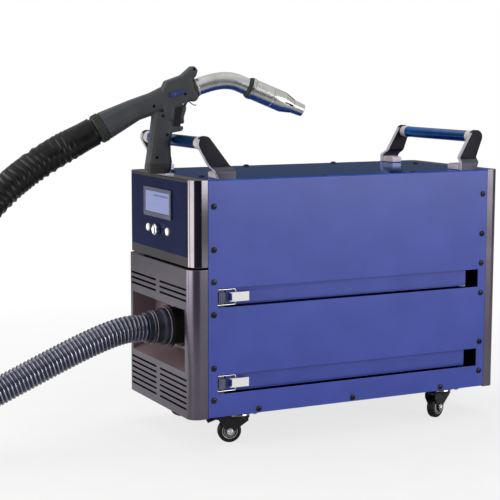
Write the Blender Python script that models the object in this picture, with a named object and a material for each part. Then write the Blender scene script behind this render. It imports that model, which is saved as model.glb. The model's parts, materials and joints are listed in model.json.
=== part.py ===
"""Mobile fume extractor with a ribbed suction hose and a torch hung on its front handle.

Metres, +Z up. The pieces are laid out from the front lower corner of the near side panel:
x runs to the rear, y away from that panel, z up from the floor. The empty "extractor"
carries the shift that puts the origin on the floor under the middle of the machine.
"""

import math

import bmesh
import bpy
from mathutils import Matrix, Vector

# Overall body
BODY_LENGTH = 0.685
BODY_WIDTH = 0.340
BODY_HEIGHT = 0.490
FLOOR_CLEARANCE = 0.068
SHEET = 0.0015
GAP = 0.0003
RUN_CLEARANCE = 0.0006
OVERLAP = 0.004
BODY_TOP = FLOOR_CLEARANCE + BODY_HEIGHT
INNER_SIDE = SHEET + GAP
ROUND_STEPS = 20
MIDDLE_STEPS = 16
SMALL_STEPS = 12
PIN_STEPS = 8
ROUTE_STEPS = 120
SHARP_ANGLE = math.radians(35.0)
BEVEL_ANGLE = math.radians(40.0)

# Folded chassis and partition
FRONT_WALL_X = 0.014
CHASSIS_LIP = 0.020
TOP_FLANGE = 0.018
TOP_FLANGE_INSET = 0.019
INLET_HEIGHT_SHARE = 0.33878
INLET_Z = FLOOR_CLEARANCE + BODY_HEIGHT * INLET_HEIGHT_SHARE
INLET_Y = BODY_WIDTH / 2
INTAKE_RADIUS = 0.045
EXHAUST_HOLE_WIDTH = 0.200
EXHAUST_HOLE_HEIGHT = 0.110
EXHAUST_HOLE_DROP = 0.100
EXHAUST_HOLE_Z = BODY_TOP - EXHAUST_HOLE_DROP

# Slots and sliding trays
SLOT_START = 0.021
SLOT_END_MARGIN = 0.020
SLOT_END = BODY_LENGTH - SLOT_END_MARGIN
SLOT_HEIGHT = 0.0395
UPPER_SLOT_SHARE = 0.465306
UPPER_SLOT_Z = FLOOR_CLEARANCE + BODY_HEIGHT * UPPER_SLOT_SHARE
LOWER_SLOT_RISE = 0.048
LOWER_SLOT_Z = FLOOR_CLEARANCE + LOWER_SLOT_RISE
DECK_RISE = 0.0025
DECK_Z = UPPER_SLOT_Z + SLOT_HEIGHT + DECK_RISE
TRAY_START = 0.0455
TRAY_END_ROOM = 0.024
TRAY_END = SLOT_END - TRAY_END_ROOM
TRAY_FACE_Y = 0.014
TRAY_BACK_ROOM = 0.026
TRAY_DEPTH = BODY_WIDTH - TRAY_BACK_ROOM - TRAY_FACE_Y
TRAY_FACE_DROP = 0.034
TRAY_FACE_THICK = 0.0025
TRAY_WALL = 0.002
TRAY_LEDGE = 0.012
TRAY_LIFT = 0.001
RAIL_LIP = 0.009
RAIL_THICK = 0.002
RAIL_STANDOFF = 0.004
RAIL_START_Y = 0.020
MEDIA_CLEARANCE = 0.001
PLEAT_COUNT = 16
PLEAT_DEPTH = 0.006

# Draw latches on the trays
LEVER_START = 0.0555
LEVER_END = 0.094
LEVER_HALF_HEIGHT = 0.0095
LEVER_OUTER_Y = 0.0035
LEVER_THICK = 0.0018
LEVER_CHEEK_END = 0.072
LEVER_CHEEK_DEPTH = 0.0068
LATCH_PIVOT_X = LEVER_START
LATCH_PIVOT_Y = 0.0088
LATCH_PIN_RADIUS = 0.0014
BAIL_PIN_X = 0.0655
BAIL_HOOK_X = 0.0230
BAIL_HALF_HEIGHT = 0.0160
BAIL_WIRE_RADIUS = 0.0013
BAIL_SIDES = 6
BAIL_CORNER_SHARE = 2.5
LATCH_BASE_HALF = 0.0070
LATCH_BASE_WIDTH_HALF = 0.0020
LATCH_BASE_NOSE = 0.0022
LEVER_CHEEK_LEAD = 0.0034
CATCH_START = 0.0248
CATCH_END = 0.0405
CATCH_HALF_HEIGHT = 0.0105
CATCH_NOSE_Y = 0.0035
CATCH_PLATE_Y = 0.0115
CATCH_PLATE = 0.0020
CATCH_FOOT = 0.0070
CATCH_BRIDGE = 0.0240
CATCH_RIB_COUNT = 4
CATCH_RIB_DEPTH = 0.0008
CATCH_RIB_CREST_SHARE = 0.4

# Moulded end covers
COVER_WALL = 0.0025
COVER_CORNER = 0.014
CORNER_STEPS = 6
UPPER_COVER_REACH = 0.036
LOWER_COVER_REACH = 0.0395
REAR_COVER_REACH = 0.029
COVER_DROP = 0.002
COVER_SPLIT_SHARE = 0.636735
COVER_SPLIT = 0.004
UPPER_COVER_Z = FLOOR_CLEARANCE + BODY_HEIGHT * COVER_SPLIT_SHARE
LOWER_COVER_TOP = UPPER_COVER_Z - COVER_SPLIT
FACE_CUT = 0.012

# Inlet pocket in the lower cover
POCKET_INSET = 0.030
POCKET_RISE = 0.058
POCKET_DROP = 0.074
POCKET_TOP = INLET_Z + POCKET_RISE
POCKET_BOTTOM = INLET_Z - POCKET_DROP
POCKET_TAPER = 0.005
POCKET_FLOOR_RISE = 0.024

# Air louvres
LOUVRE_HEIGHT = 0.0045
UPPER_LOUVRE_DROP = 0.042
UPPER_LOUVRE_TOP = LOWER_COVER_TOP - UPPER_LOUVRE_DROP
UPPER_LOUVRE_PITCH = 0.0115
UPPER_LOUVRE_ROWS = 3
LOWER_LOUVRE_DROP = 0.014
LOWER_LOUVRE_TOP = POCKET_BOTTOM - LOWER_LOUVRE_DROP
LOWER_LOUVRE_PITCH = 0.012
LOWER_LOUVRE_ROWS = 6
LOUVRE_INSET = 0.022
LOUVRE_MIDDLE_GAP = 0.018
REAR_LOUVRE_DROP = 0.035
REAR_LOUVRE_TOP = BODY_TOP - REAR_LOUVRE_DROP
REAR_LOUVRE_PITCH = 0.016
REAR_LOUVRE_ROWS = 8
REAR_LOUVRE_HEIGHT = 0.006
REAR_LOUVRE_INSET = 0.055

# Control fascia
FASCIA_INSET = 0.014
FASCIA_SILL = 0.020
FASCIA_HEAD = 0.007
FASCIA_BOTTOM = UPPER_COVER_Z + FASCIA_SILL
FASCIA_TOP = BODY_TOP - FASCIA_HEAD
FASCIA_THICK = 0.0009
FASCIA_FACE_X = -UPPER_COVER_REACH - GAP - FASCIA_THICK
BEZEL_HALF_WIDTH = 0.072
BEZEL_HEIGHT = 0.062
BEZEL_DROP = 0.028
BEZEL_START_Y = BODY_WIDTH / 2 - BEZEL_HALF_WIDTH
BEZEL_END_Y = BODY_WIDTH / 2 + BEZEL_HALF_WIDTH
BEZEL_TOP = BODY_TOP - BEZEL_DROP
BEZEL_BOTTOM = BEZEL_TOP - BEZEL_HEIGHT
BEZEL_PROUD = 0.0035
VIEW_MARGIN_Y = 0.008
VIEW_MARGIN_TOP = 0.0075
VIEW_MARGIN_BOTTOM = 0.0095
VIEW_START_Y = BEZEL_START_Y + VIEW_MARGIN_Y
VIEW_END_Y = BEZEL_END_Y - VIEW_MARGIN_Y
VIEW_BOTTOM = BEZEL_BOTTOM + VIEW_MARGIN_BOTTOM
VIEW_TOP = BEZEL_TOP - VIEW_MARGIN_TOP
WINDOW_SETBACK = 0.0015
MODULE_MARGIN_Y = 0.009
MODULE_MARGIN_Z = 0.008
MODULE_DEPTH = 0.009
CONTROL_DROP = 0.025
CONTROL_Z = BEZEL_BOTTOM - CONTROL_DROP
BUTTON_OFFSET = 0.051
BUTTON_RADIUS = 0.008
BUTTON_PROUD = 0.004
BUTTON_CROWN = 0.0010
BUTTON_FLANGE = 0.0105
BUTTON_FLANGE_THICK = 0.002
BUTTON_BODY = 0.010
BUTTON_STEM = 0.006
KNOB_RADIUS = 0.012
KNOB_PROUD = 0.0105
KNOB_SHAFT = 0.003
KNOB_SHAFT_LENGTH = 0.014
KNOB_CHAMFER = 0.0012

# Handles
BAR_RISE = 0.072
BAR_Z = BODY_TOP + BAR_RISE
BAR_RADIUS = 0.0125
FERRULE_RADIUS = 0.0134
FERRULE_LENGTH = 0.018
BAR_FRONT_X = 0.001
BAR_REAR_INSET = 0.020
BAR_REAR_X = BODY_LENGTH - BAR_REAR_INSET
FRONT_FOOT_X = 0.0445
REAR_FOOT_INSET = 0.050
REAR_FOOT_X = BODY_LENGTH - REAR_FOOT_INSET
ARM_THICK = 0.014
ARM_FOOT_HALF = 0.0195
ARM_NECK_HALF = 0.0165
ARM_TOP_LEAN = 0.015
ARM_STRAIGHT = 0.017
ARM_BEND = 0.027
ARM_CHAMFER = 0.003
ARM_CORNER_SHARE = 0.4
ARM_LEAN_START_X_SHARE = 0.08
ARM_LEAN_START_Y_SHARE = 0.10
BOSS_RADIUS = 0.01375
FOOT_REACH = 0.048
FOOT_HEIGHT = 0.0135

# Casters
SWIVEL_FRONT_X = 0.088
SWIVEL_INSET = 0.040
WHEEL_RADIUS = 0.025
WHEEL_WIDTH = 0.018
WHEEL_TRAIL = 0.020
WHEEL_BORE = 0.0044
TREAD_ROUND = 0.004
HUB_DISH = 0.002
HUB_RADIUS = 0.010
HUB_RIM_SHARE = 1.3
AXLE_RADIUS = 0.0038
AXLE_REACH = 0.0165
PLATE_SIDE = 0.064
PLATE_THICK = 0.0025
PLATE_TOP = FLOOR_CLEARANCE - GAP
RACE_RADIUS = 0.024
RACE_BOTTOM = 0.0585
KINGPIN_RADIUS = 0.005
CROWN_RADIUS = 0.0235
CROWN_BOTTOM = 0.0535
CROWN_TOP = RACE_BOTTOM - GAP
LEG_INNER = 0.0112
LEG_THICK = 0.0025
LEG_TOE_HALF = 0.0075
LEG_FRONT = 0.019
EAR_REACH = 0.043
EAR_BOTTOM = 0.0475
PEDAL_PIVOT_X = 0.037
PEDAL_PIVOT_Z = 0.0520
PEDAL_HALF_WIDTH = 0.0100
PEDAL_START = 0.0315
PEDAL_BEND = 0.050
PEDAL_TOE = 0.067
PEDAL_TOE_DROP = 0.0075
PEDAL_THICK = 0.0030
PEDAL_HEEL_SHARE = 1.4
CASTER_TURNS = {"front_near": 164.0, "rear_near": 205.0, "front_far": 190.0, "rear_far": 172.0}

# Turbine under the top cover
BLOWER_X_SHARE = 0.583942
BLOWER_X = BODY_LENGTH * BLOWER_X_SHARE
BLOWER_RADIUS = 0.082
BLOWER_HEIGHT = 0.080
BLOWER_WALL = 0.003
MOTOR_RADIUS = 0.050
MOTOR_HEIGHT = 0.055
BLOWER_PORT_HALF = 0.030
BLOWER_PORT_HEIGHT = 0.040
IMPELLER_RADIUS = 0.070
IMPELLER_PLATE = 0.003
IMPELLER_LIFT = 0.012
BLADE_COUNT = 9
BLADE_HEIGHT = 0.034
BLADE_THICK = 0.002
BLADE_START = 0.026
BLADE_SWEEP = math.radians(40.0)
HUB_HALF = 0.012
BLOWER_FOOT_HALF = 0.014
BLOWER_FOOT_HEIGHT = 0.010

# Inlet collar and hose cuff
COLLAR_FLANGE_RADIUS = 0.0456
COLLAR_FLANGE_THICK = 0.006
COLLAR_FACE_X = -0.0190
COLLAR_RADIUS = 0.0400
COLLAR_BORE = 0.0350
COLLAR_TAIL = 0.010
CUFF_LARGE_RADIUS = 0.0396
CUFF_SMALL_RADIUS = 0.0348
CUFF_SPIGOT_RADIUS = COLLAR_BORE - RUN_CLEARANCE
CUFF_SPIGOT_LENGTH = 0.024
CUFF_LARGE_END = -0.031
CUFF_TAPER_END = -0.037
CUFF_RING_START = -0.053
CUFF_RING_END = -0.058
CUFF_END_X = -0.070
CUFF_RING_PROUD = 0.0012
CUFF_MOUTH_RADIUS = 0.0325

# Ribbed hose
HOSE_RADIUS = 0.029
HOSE_VALLEY = 0.0265
HOSE_BORE = 0.025
RIB_PITCH = 0.0130
HOSE_SAG_START = 0.105
HOSE_SAG_END = 0.170
HOSE_LAND_X = -0.720
LOOP_RADIUS = 0.240
LOOP_CENTRE_X = -1.000
LOOP_TURN = math.radians(225.0)
FLOOR_SKIM = 0.0006
END_STRAIGHT_SHARE = 1.0
BORE_STEPS = 48

# Joint of the hose with the leather sleeve
JOINT_LENGTH = 0.090
JOINT_RADIUS = 0.0318
JOINT_RING_RADIUS = 0.0335
JOINT_RING_LENGTH = 0.014
JOINT_BORE = 0.0245

# Leather sleeve round the torch lead
SLEEVE_START_RADIUS = 0.0290
SLEEVE_RADIUS = 0.0320
SLEEVE_POINTS = 24
SLEEVE_TORCH_PULL = 0.50
SLEEVE_FLOOR_PULL = 0.40

# Torch: u points along its nozzle, v away from the near side, w up
TORCH_SIDE = 0.018
TORCH_Y = BODY_WIDTH / 2 - TORCH_SIDE
TORCH_TURN = math.radians(-12.0)
REAR_JOINT_U = -0.156
REAR_JOINT_W = 0.0315
REAR_PITCH = math.radians(27.8)
REAR_RADIUS = 0.030
BARREL_WAIST_U = -0.092
BARREL_WAIST_W = 0.064
BARREL_WAIST_RADIUS = 0.0235
BARREL_MID_U = -0.050
BARREL_MID_W = 0.0785
BARREL_MID_RADIUS = 0.0235
BARREL_END_U = -0.014
BARREL_END_W = 0.096
BARREL_END_RADIUS = 0.0240
TORCH_HALF = 0.0200
GRIP_HALF = 0.0175
GRIP_BUTT_U = -0.0440
GRIP_BUTT_W = -0.0680
GRIP_BUTT_HALF = 0.0250
GRIP_FOOT_U = -0.0430
GRIP_FOOT_W = -0.0560
GRIP_FOOT_HALF = 0.0285
GRIP_MID_U = -0.0400
GRIP_MID_W = -0.0050
GRIP_MID_HALF = 0.0235
GRIP_TOP_U = -0.0300
GRIP_TOP_W = 0.0600
GRIP_TOP_HALF = 0.0250
HEAD_LENGTH = 0.079
HEAD_HEIGHT = 0.112
HEAD_START_U = -0.036
HEAD_START_W = 0.045
HEAD_OUTLINE_SHARES = (
    (0.10, 0.00), (0.30, -0.06), (0.34, 0.20), (0.63, 0.24), (0.71, 0.34),
    (0.88, 0.31), (1.00, 0.40), (0.81, 0.74), (0.92, 0.80), (0.96, 0.90),
    (0.85, 1.00), (0.54, 0.81), (0.11, 0.70), (0.00, 0.55), (0.02, 0.20),
)
GUARD_TIP_U = 0.0085
GUARD_TIP_W = 0.0240
GUARD_ROOT_U = -0.030
GUARD_TOP_W = 0.0300
GUARD_ROOT_W = 0.0140
GUARD_HALF = 0.0150
BARREL_CORNER_SHARE = 0.92
GRIP_CORNER_SHARE = 0.85
GRIP_SWELL_SHARE = 0.5
HEAD_ROUND_SHARE = 0.28
HEAD_ROUND_ANGLE = math.radians(60.0)
TRIGGER_BACK_U = 0.0010
TRIGGER_FRONT_U = 0.0080
TRIGGER_NOSE_U = 0.0150
TRIGGER_BOTTOM_W = 0.0360
TRIGGER_BELLY_W = 0.0500
TRIGGER_NOSE_W = 0.0640
TRIGGER_HEAD_U = 0.0135
TRIGGER_HEAD_BACK_U = 0.0045
TRIGGER_HEAD_W = 0.0805
TRIGGER_HALF = 0.0060
TRIGGER_PIVOT_U = 0.0090
TRIGGER_PIVOT_W = 0.0765
TRIGGER_PIN = 0.0012
TRIGGER_SLOT_HALF = 0.0066
TRIGGER_SLOT_BACK_U = -0.0120
TRIGGER_SLOT_FRONT_U = 0.0240
TRIGGER_SLOT_TOP_W = 0.0840
FLOW_PIVOT_U = -0.0140
FLOW_PIVOT_W = 0.0960
FLOW_LEVER_LENGTH = 0.0245
FLOW_LEVER_RISE = 0.0080
FLOW_HUB_RADIUS = 0.0048
FLOW_TIP_RADIUS = 0.0024
FLOW_THICK = 0.0035
FLOW_STUB = 0.0030
FLOW_STUB_RADIUS = 0.0018
NUT_LENGTH = 0.0180
NUT_RADIUS = 0.0310
NUT_CHAMFER = 0.0020
NECK_RADIUS = 0.0180
NECK_START_U = 0.0271
NECK_START_W = 0.1060
NECK_RISE = math.radians(19.0)
NECK_SOCKET = 0.040
NECK_POINTS = 9
SHROUD_PITCH = math.radians(22.5)
SHROUD_START_U = 0.1620
SHROUD_START_W = 0.1060
RING_LENGTH = 0.0150
RING_RADIUS = 0.0232
RING_BACK_RADIUS = 0.0190
SHROUD_RADIUS = 0.0219
SHROUD_SEAM = 0.0437
SHROUD_BORE = 0.0170
NOZZLE_SHOULDER = 0.0710
NOZZLE_NECK = 0.0936
NOZZLE_END = 0.1186
NOZZLE_NECK_RADIUS = 0.0151
NOZZLE_TIP_RADIUS = 0.0101
NOZZLE_BORE = 0.0080
NOZZLE_SLOT_COUNT = 6
NOZZLE_SLOT_HALF = 0.0020

# Mains inlet and rocker switch on the rear cover
INLET_SOCKET_OFFSET = 0.080
INLET_SOCKET_Y = BODY_WIDTH / 2 + INLET_SOCKET_OFFSET
INLET_SOCKET_HALF_Y = 0.0235
INLET_SOCKET_HALF_Z = 0.0155
INLET_FLANGE = 0.0035
INLET_BODY = 0.026
INLET_HOLLOW_HALF_Y = 0.0120
INLET_HOLLOW_HALF_Z = 0.0080
INLET_HOLLOW_DEPTH = 0.016
PIN_PITCH = 0.007
PIN_HALF = 0.001
PIN_REACH = 0.010
PIN_TALL_SHARE = 2.0
PIN_STAGGER_SHARE = 1.5
POWER_RISE = 0.075
POWER_Z = FLOOR_CLEARANCE + POWER_RISE
SWITCH_OFFSET = 0.010
SWITCH_Y = BODY_WIDTH / 2 + SWITCH_OFFSET
SWITCH_HALF_Y = 0.0095
SWITCH_HALF_Z = 0.0130
SWITCH_DEPTH = 0.010
SWITCH_CREST = 0.0050
SWITCH_PIVOT_DEPTH = 0.004
SWITCH_PIN = 0.0018
SWITCH_CHEEK_SHARE = 3.0
SWITCH_BACK_SHARE = 0.5
SWITCH_OFF_SHARE = 0.2
SWITCH_MIDDLE_SHARE = 0.4
SWITCH_ON_SHARE = 0.94

# The machine's middle, between the back of the torch's nut and the rear cover
REAR_FACE_X = BODY_LENGTH + REAR_COVER_REACH
REAR_REACH_X = REAR_FACE_X + SWITCH_CREST
NUT_ALONG_X = math.cos(REAR_PITCH) * math.cos(TORCH_TURN)
NUT_END_X = REAR_JOINT_U * math.cos(TORCH_TURN) - (NUT_LENGTH + GAP) * NUT_ALONG_X
NUT_EDGE = NUT_RADIUS - NUT_CHAMFER
NUT_EDGE_X = BAR_FRONT_X + NUT_END_X - NUT_EDGE * math.sqrt(1 - NUT_ALONG_X ** 2)
MIDDLE_X = (REAR_REACH_X + NUT_EDGE_X) / 2

AXIS_X = Vector((1, 0, 0))
AXIS_Y = Vector((0, 1, 0))
AXIS_Z = Vector((0, 0, 1))


def clear_scene():
    """Remove the objects and meshes that the start-up file brings."""
    for obj in list(bpy.data.objects):
        bpy.data.objects.remove(obj, do_unlink=True)
    for mesh in list(bpy.data.meshes):
        bpy.data.meshes.remove(mesh)


def material(name, colour, roughness, metallic):
    made = bpy.data.materials.new(name)
    made.use_nodes = True
    shader = made.node_tree.nodes["Principled BSDF"]
    shader.inputs["Base Color"].default_value = (*colour, 1.0)
    shader.inputs["Roughness"].default_value = roughness
    shader.inputs["Metallic"].default_value = metallic
    return made


def empty(name, parent, location, turn=0.0):
    made = bpy.data.objects.new(name, None)
    bpy.context.collection.objects.link(made)
    made.parent = parent
    made.location = location
    made.rotation_euler.z = turn
    return made


def mesh_object(name, points, faces, parent):
    """A closed mesh object with its faces turned outwards."""
    mesh = bpy.data.meshes.new(name)
    mesh.from_pydata([tuple(p) for p in points], [], faces)
    work = bmesh.new()
    work.from_mesh(mesh)
    bmesh.ops.recalc_face_normals(work, faces=work.faces)
    work.to_mesh(mesh)
    work.free()
    made = bpy.data.objects.new(name, mesh)
    bpy.context.collection.objects.link(made)
    made.parent = parent
    return made


def rings_object(name, rings, parent, closed=False):
    """Skin of a row of rings with equal counts of points; a ring of one point is a tip."""
    points = []
    starts = []
    for ring in rings:
        starts.append((len(points), len(ring)))
        points.extend(ring)
    faces = []
    pairs = list(zip(starts, starts[1:]))
    if closed:
        pairs.append((starts[-1], starts[0]))
    for (a, count_a), (b, count_b) in pairs:
        count = max(count_a, count_b)
        for i in range(count):
            j = (i + 1) % count
            face = [a + i % count_a, a + j % count_a, b + j % count_b, b + i % count_b]
            faces.append(list(dict.fromkeys(face)))
    if not closed:
        for start, count in (starts[0], starts[-1]):
            if count > 2:
                faces.append([start + i for i in range(count)])
    return mesh_object(name, points, faces, parent)


def block(name, x, y, z, parent):
    """A box between two values on each axis."""
    low = [Vector((x[i], y[j], z[0])) for i, j in ((0, 0), (1, 0), (1, 1), (0, 1))]
    high = [Vector((p.x, p.y, z[1])) for p in low]
    return rings_object(name, [low, high], parent)


def blocks(name, boxes, parent):
    """Several separate boxes in one mesh, for use as one cutter."""
    points = []
    faces = []
    for x, y, z in boxes:
        start = len(points)
        corners = [(x[i], y[j], z[k]) for k in (0, 1) for i, j in ((0, 0), (1, 0), (1, 1), (0, 1))]
        points.extend(corners)
        faces.extend([[start + i for i in side] for side in ((3, 2, 1, 0), (4, 5, 6, 7))])
        for i in range(4):
            j = (i + 1) % 4
            faces.append([start + i, start + j, start + 4 + j, start + 4 + i])
    return mesh_object(name, points, faces, parent)


def prism(name, outline, low, high, axis, parent):
    """An outline in the plane square to the axis ("x", "y" or "z"), extruded along it."""
    place = {
        "x": lambda a, b, c: Vector((c, a, b)),
        "y": lambda a, b, c: Vector((a, c, b)),
        "z": lambda a, b, c: Vector((a, b, c)),
    }[axis]
    return rings_object(name, [[place(a, b, c) for a, b in outline] for c in (low, high)], parent)


def lathe(name, profile, origin, direction, parent, steps=ROUND_STEPS, closed=False):
    """A profile of (distance along, radius) turned about an axis; closed makes a bored piece."""
    along = Vector(direction).normalized()
    side = along.cross(AXIS_Z if abs(along.z) < 0.9 else AXIS_X).normalized()
    other = along.cross(side)
    rings = []
    for distance, radius in profile:
        centre = Vector(origin) + along * distance
        if radius == 0:
            rings.append([centre])
            continue
        turns = [2 * math.pi * i / steps for i in range(steps)]
        rings.append([centre + radius * (math.cos(t) * side + math.sin(t) * other) for t in turns])
    return rings_object(name, rings, parent, closed)


def rod(name, start, end, radius, parent, steps=SMALL_STEPS):
    """A plain round bar between two points."""
    start = Vector(start)
    length = (Vector(end) - start).length
    return lathe(name, ((0, radius), (length, radius)), start, Vector(end) - start, parent, steps)


def rounded_ring(centre, across, over, half_a, half_b, corner_share, steps=2):
    """A rectangle with rounded corners as a ring of points round a centre."""
    corner = corner_share * min(half_a, half_b)
    ring = []
    for quarter, (sign_a, sign_b) in enumerate(((1, 1), (-1, 1), (-1, -1), (1, -1))):
        for i in range(steps + 1):
            turn = (quarter + i / steps) * math.pi / 2
            a = sign_a * (half_a - corner) + corner * math.cos(turn)
            b = sign_b * (half_b - corner) + corner * math.sin(turn)
            ring.append(centre + across * a + over * b)
    return ring


def boolean(target, operation, tools):
    for tool in tools:
        step = target.modifiers.new(tool.name, "BOOLEAN")
        step.operation = operation
        step.solver = "EXACT"
        step.object = tool
        tool.parent = target
        tool.hide_render = True
        tool.display_type = "WIRE"
    return target


def cut(target, *tools):
    return boolean(target, "DIFFERENCE", tools)


def fuse(target, *tools):
    return boolean(target, "UNION", tools)


def round_edges(target, width, segments=2, limit=BEVEL_ANGLE):
    step = target.modifiers.new("rounding", "BEVEL")
    step.width = width
    step.segments = segments
    step.limit_method = "ANGLE"
    step.angle_limit = limit
    return target


def finish(obj, look, smooth=False):
    obj.data.materials.append(look)
    for tool in obj.children:
        if tool.hide_render and tool.type == "MESH" and not tool.data.materials:
            tool.data.materials.append(look)
    if smooth:
        obj.data.shade_smooth()
        obj.data.set_sharp_from_angle(angle=SHARP_ANGLE)
    return obj


def pivot(obj, point):
    """Put the object's origin on its joint without moving its shape."""
    shift = Matrix.Translation(-Vector(point))
    obj.data.transform(shift)
    for tool in obj.children:
        if tool.hide_render:
            tool.data.transform(shift)
    obj.location = point
    return obj


def mirrored_y(value, near):
    return value if near else BODY_WIDTH - value


def span(a, b):
    return (min(a, b), max(a, b))


# Body shell

def build_chassis(root):
    wall_top = BODY_TOP - SHEET - GAP
    front = FRONT_WALL_X
    rear = BODY_LENGTH - GAP
    floor = FLOOR_CLEARANCE
    outline = (
        (GAP, floor), (rear, floor), (rear, wall_top), (rear - SHEET, wall_top),
        (rear - SHEET, floor + SHEET), (front + SHEET, floor + SHEET),
        (front + SHEET, wall_top), (front, wall_top), (front, floor + SHEET), (GAP, floor + SHEET),
    )
    side = (INNER_SIDE, BODY_WIDTH - INNER_SIDE)
    chassis = prism("chassis", outline, side[0], side[1], "y", root)
    lips = []
    for near in (True, False):
        edge = [mirrored_y(value, near) for value in (INNER_SIDE, INNER_SIDE + SHEET)]
        run = (front + SHEET / 2, rear - SHEET / 2)
        up = (floor + SHEET / 2, floor + CHASSIS_LIP)
        lips.append(block("chassis_lip", run, span(*edge), up, root))
    shelf = LOWER_SLOT_Z + TRAY_LIFT - GAP
    for start in (TRAY_START - RAIL_STANDOFF, TRAY_END - RAIL_LIP):
        width = RAIL_LIP + RAIL_STANDOFF
        deep = (RAIL_START_Y, RAIL_START_Y + TRAY_DEPTH)
        lips.append(block("chassis_rail", (start, start + width), deep, (floor + SHEET / 2, shelf), root))
    fuse(chassis, *lips)
    through = FRONT_WALL_X + OVERLAP
    hole = rod("chassis_inlet_hole", (0, INLET_Y, INLET_Z), (through, INLET_Y, INLET_Z),
               COLLAR_RADIUS + GAP, root, ROUND_STEPS)
    exhaust_half = EXHAUST_HOLE_WIDTH / 2
    exhaust_rise = EXHAUST_HOLE_HEIGHT / 2
    vent = block("chassis_exhaust_hole", (rear - OVERLAP, rear + OVERLAP),
                 (INLET_Y - exhaust_half, INLET_Y + exhaust_half),
                 (EXHAUST_HOLE_Z - exhaust_rise, EXHAUST_HOLE_Z + exhaust_rise), root)
    pass_y = (INLET_SOCKET_Y, SWITCH_Y)
    wide = INLET_SOCKET_HALF_Y + GAP
    tall = INLET_SOCKET_HALF_Z + GAP
    power = block("chassis_power_hole", (rear - OVERLAP, rear + OVERLAP),
                  (min(pass_y) - wide, max(pass_y) + wide), (POWER_Z - tall, POWER_Z + tall), root)
    return cut(chassis, hole, vent, power)


def build_side_panel(name, near, root):
    face = span(mirrored_y(0, near), mirrored_y(SHEET, near))
    panel = block(name, (0, BODY_LENGTH), face, (FLOOR_CLEARANCE, BODY_TOP - SHEET - GAP), root)
    if near:
        deep = (-OVERLAP, SHEET + OVERLAP)
        slots = [((SLOT_START, SLOT_END), deep, (z, z + SLOT_HEIGHT)) for z in (UPPER_SLOT_Z, LOWER_SLOT_Z)]
        cut(panel, blocks("panel_slots", slots, root))
    return panel


def build_top_cover(root):
    cover = block("top_cover", (0, BODY_LENGTH), (0, BODY_WIDTH), (BODY_TOP - SHEET, BODY_TOP), root)
    flanges = []
    for near in (True, False):
        edge = [mirrored_y(value, near) for value in (INNER_SIDE, INNER_SIDE + SHEET)]
        run = (TOP_FLANGE_INSET, BODY_LENGTH - TOP_FLANGE_INSET)
        down = (BODY_TOP - SHEET - TOP_FLANGE, BODY_TOP - SHEET / 2)
        flanges.append(block("top_flange", run, span(*edge), down, root))
    return fuse(cover, *flanges)


def build_filter_deck(root):
    margin = INNER_SIDE + SHEET + GAP
    start = FRONT_WALL_X + SHEET + GAP
    end = BODY_LENGTH - SHEET - 2 * GAP
    deck = block("filter_deck", (start, end), (margin, BODY_WIDTH - margin), (DECK_Z, DECK_Z + SHEET), root)
    low = UPPER_SLOT_Z
    high = DECK_Z + SHEET / 2
    rails = []
    for edge, sign in ((TRAY_START, 1), (TRAY_END, -1)):
        back = edge - sign * RAIL_STANDOFF
        outline = (
            (back, high), (back, low), (edge + sign * RAIL_LIP, low),
            (edge + sign * RAIL_LIP, low + RAIL_THICK), (back + sign * RAIL_THICK, low + RAIL_THICK),
            (back + sign * RAIL_THICK, high),
        )
        rails.append(prism("deck_rail", outline, RAIL_START_Y, RAIL_START_Y + TRAY_DEPTH, "y", root))
    fuse(deck, *rails)
    intake = rod("deck_intake", (BLOWER_X, INLET_Y, DECK_Z - OVERLAP),
                 (BLOWER_X, INLET_Y, DECK_Z + OVERLAP), INTAKE_RADIUS, root, ROUND_STEPS)
    catch_room = block("catch_room", (CATCH_START - RUN_CLEARANCE, CATCH_END + RUN_CLEARANCE),
                       (0, CATCH_PLATE_Y + CATCH_PLATE + RUN_CLEARANCE),
                       (DECK_Z - OVERLAP, DECK_Z + OVERLAP), root)
    return cut(deck, intake, catch_room)


# End covers

def cover_outline(open_x, face_x, inset):
    """Seen from above: the two open ends and the face with its rounded corners."""
    sign = 1 if face_x < open_x else -1
    radius = COVER_CORNER - inset
    face = face_x + sign * inset
    near = inset
    far = BODY_WIDTH - inset
    outline = [(open_x, near)]
    for i in range(CORNER_STEPS + 1):
        turn = math.pi / 2 * i / CORNER_STEPS
        outline.append((face + sign * radius * (1 - math.sin(turn)), near + radius * (1 - math.cos(turn))))
    for i in range(CORNER_STEPS + 1):
        turn = math.pi / 2 * (1 - i / CORNER_STEPS)
        outline.append((face + sign * radius * (1 - math.sin(turn)), far - radius * (1 - math.cos(turn))))
    outline.append((open_x, far))
    return outline


def build_cover(name, open_x, face_x, low, high, root):
    cover = prism(name, cover_outline(open_x, face_x, 0), low, high, "z", root)
    beyond = open_x + math.copysign(OVERLAP, open_x - face_x)
    hollow = prism(name + "_hollow", cover_outline(beyond, face_x, COVER_WALL),
                   low + COVER_WALL, high - COVER_WALL, "z", root)
    return cut(cover, hollow)


def louvre_boxes(x, top, pitch, rows, height, inset, middle_gap):
    middle = BODY_WIDTH / 2
    boxes = []
    for row in range(rows):
        z = top - row * pitch
        boxes.append((x, (inset, middle - middle_gap / 2), (z - height / 2, z + height / 2)))
        boxes.append((x, (middle + middle_gap / 2, BODY_WIDTH - inset), (z - height / 2, z + height / 2)))
    return boxes


def build_upper_cover(root):
    cover = build_cover("front_upper_cover", -GAP, -UPPER_COVER_REACH, UPPER_COVER_Z, BODY_TOP, root)
    deep = (-UPPER_COVER_REACH - FACE_CUT, -UPPER_COVER_REACH + FACE_CUT)
    view = block("view_hole", deep, (VIEW_START_Y, VIEW_END_Y), (VIEW_BOTTOM, VIEW_TOP), root)
    holes = [control_hole(y, radius, deep, root) for y, radius in control_places()]
    return cut(cover, view, *holes)


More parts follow.
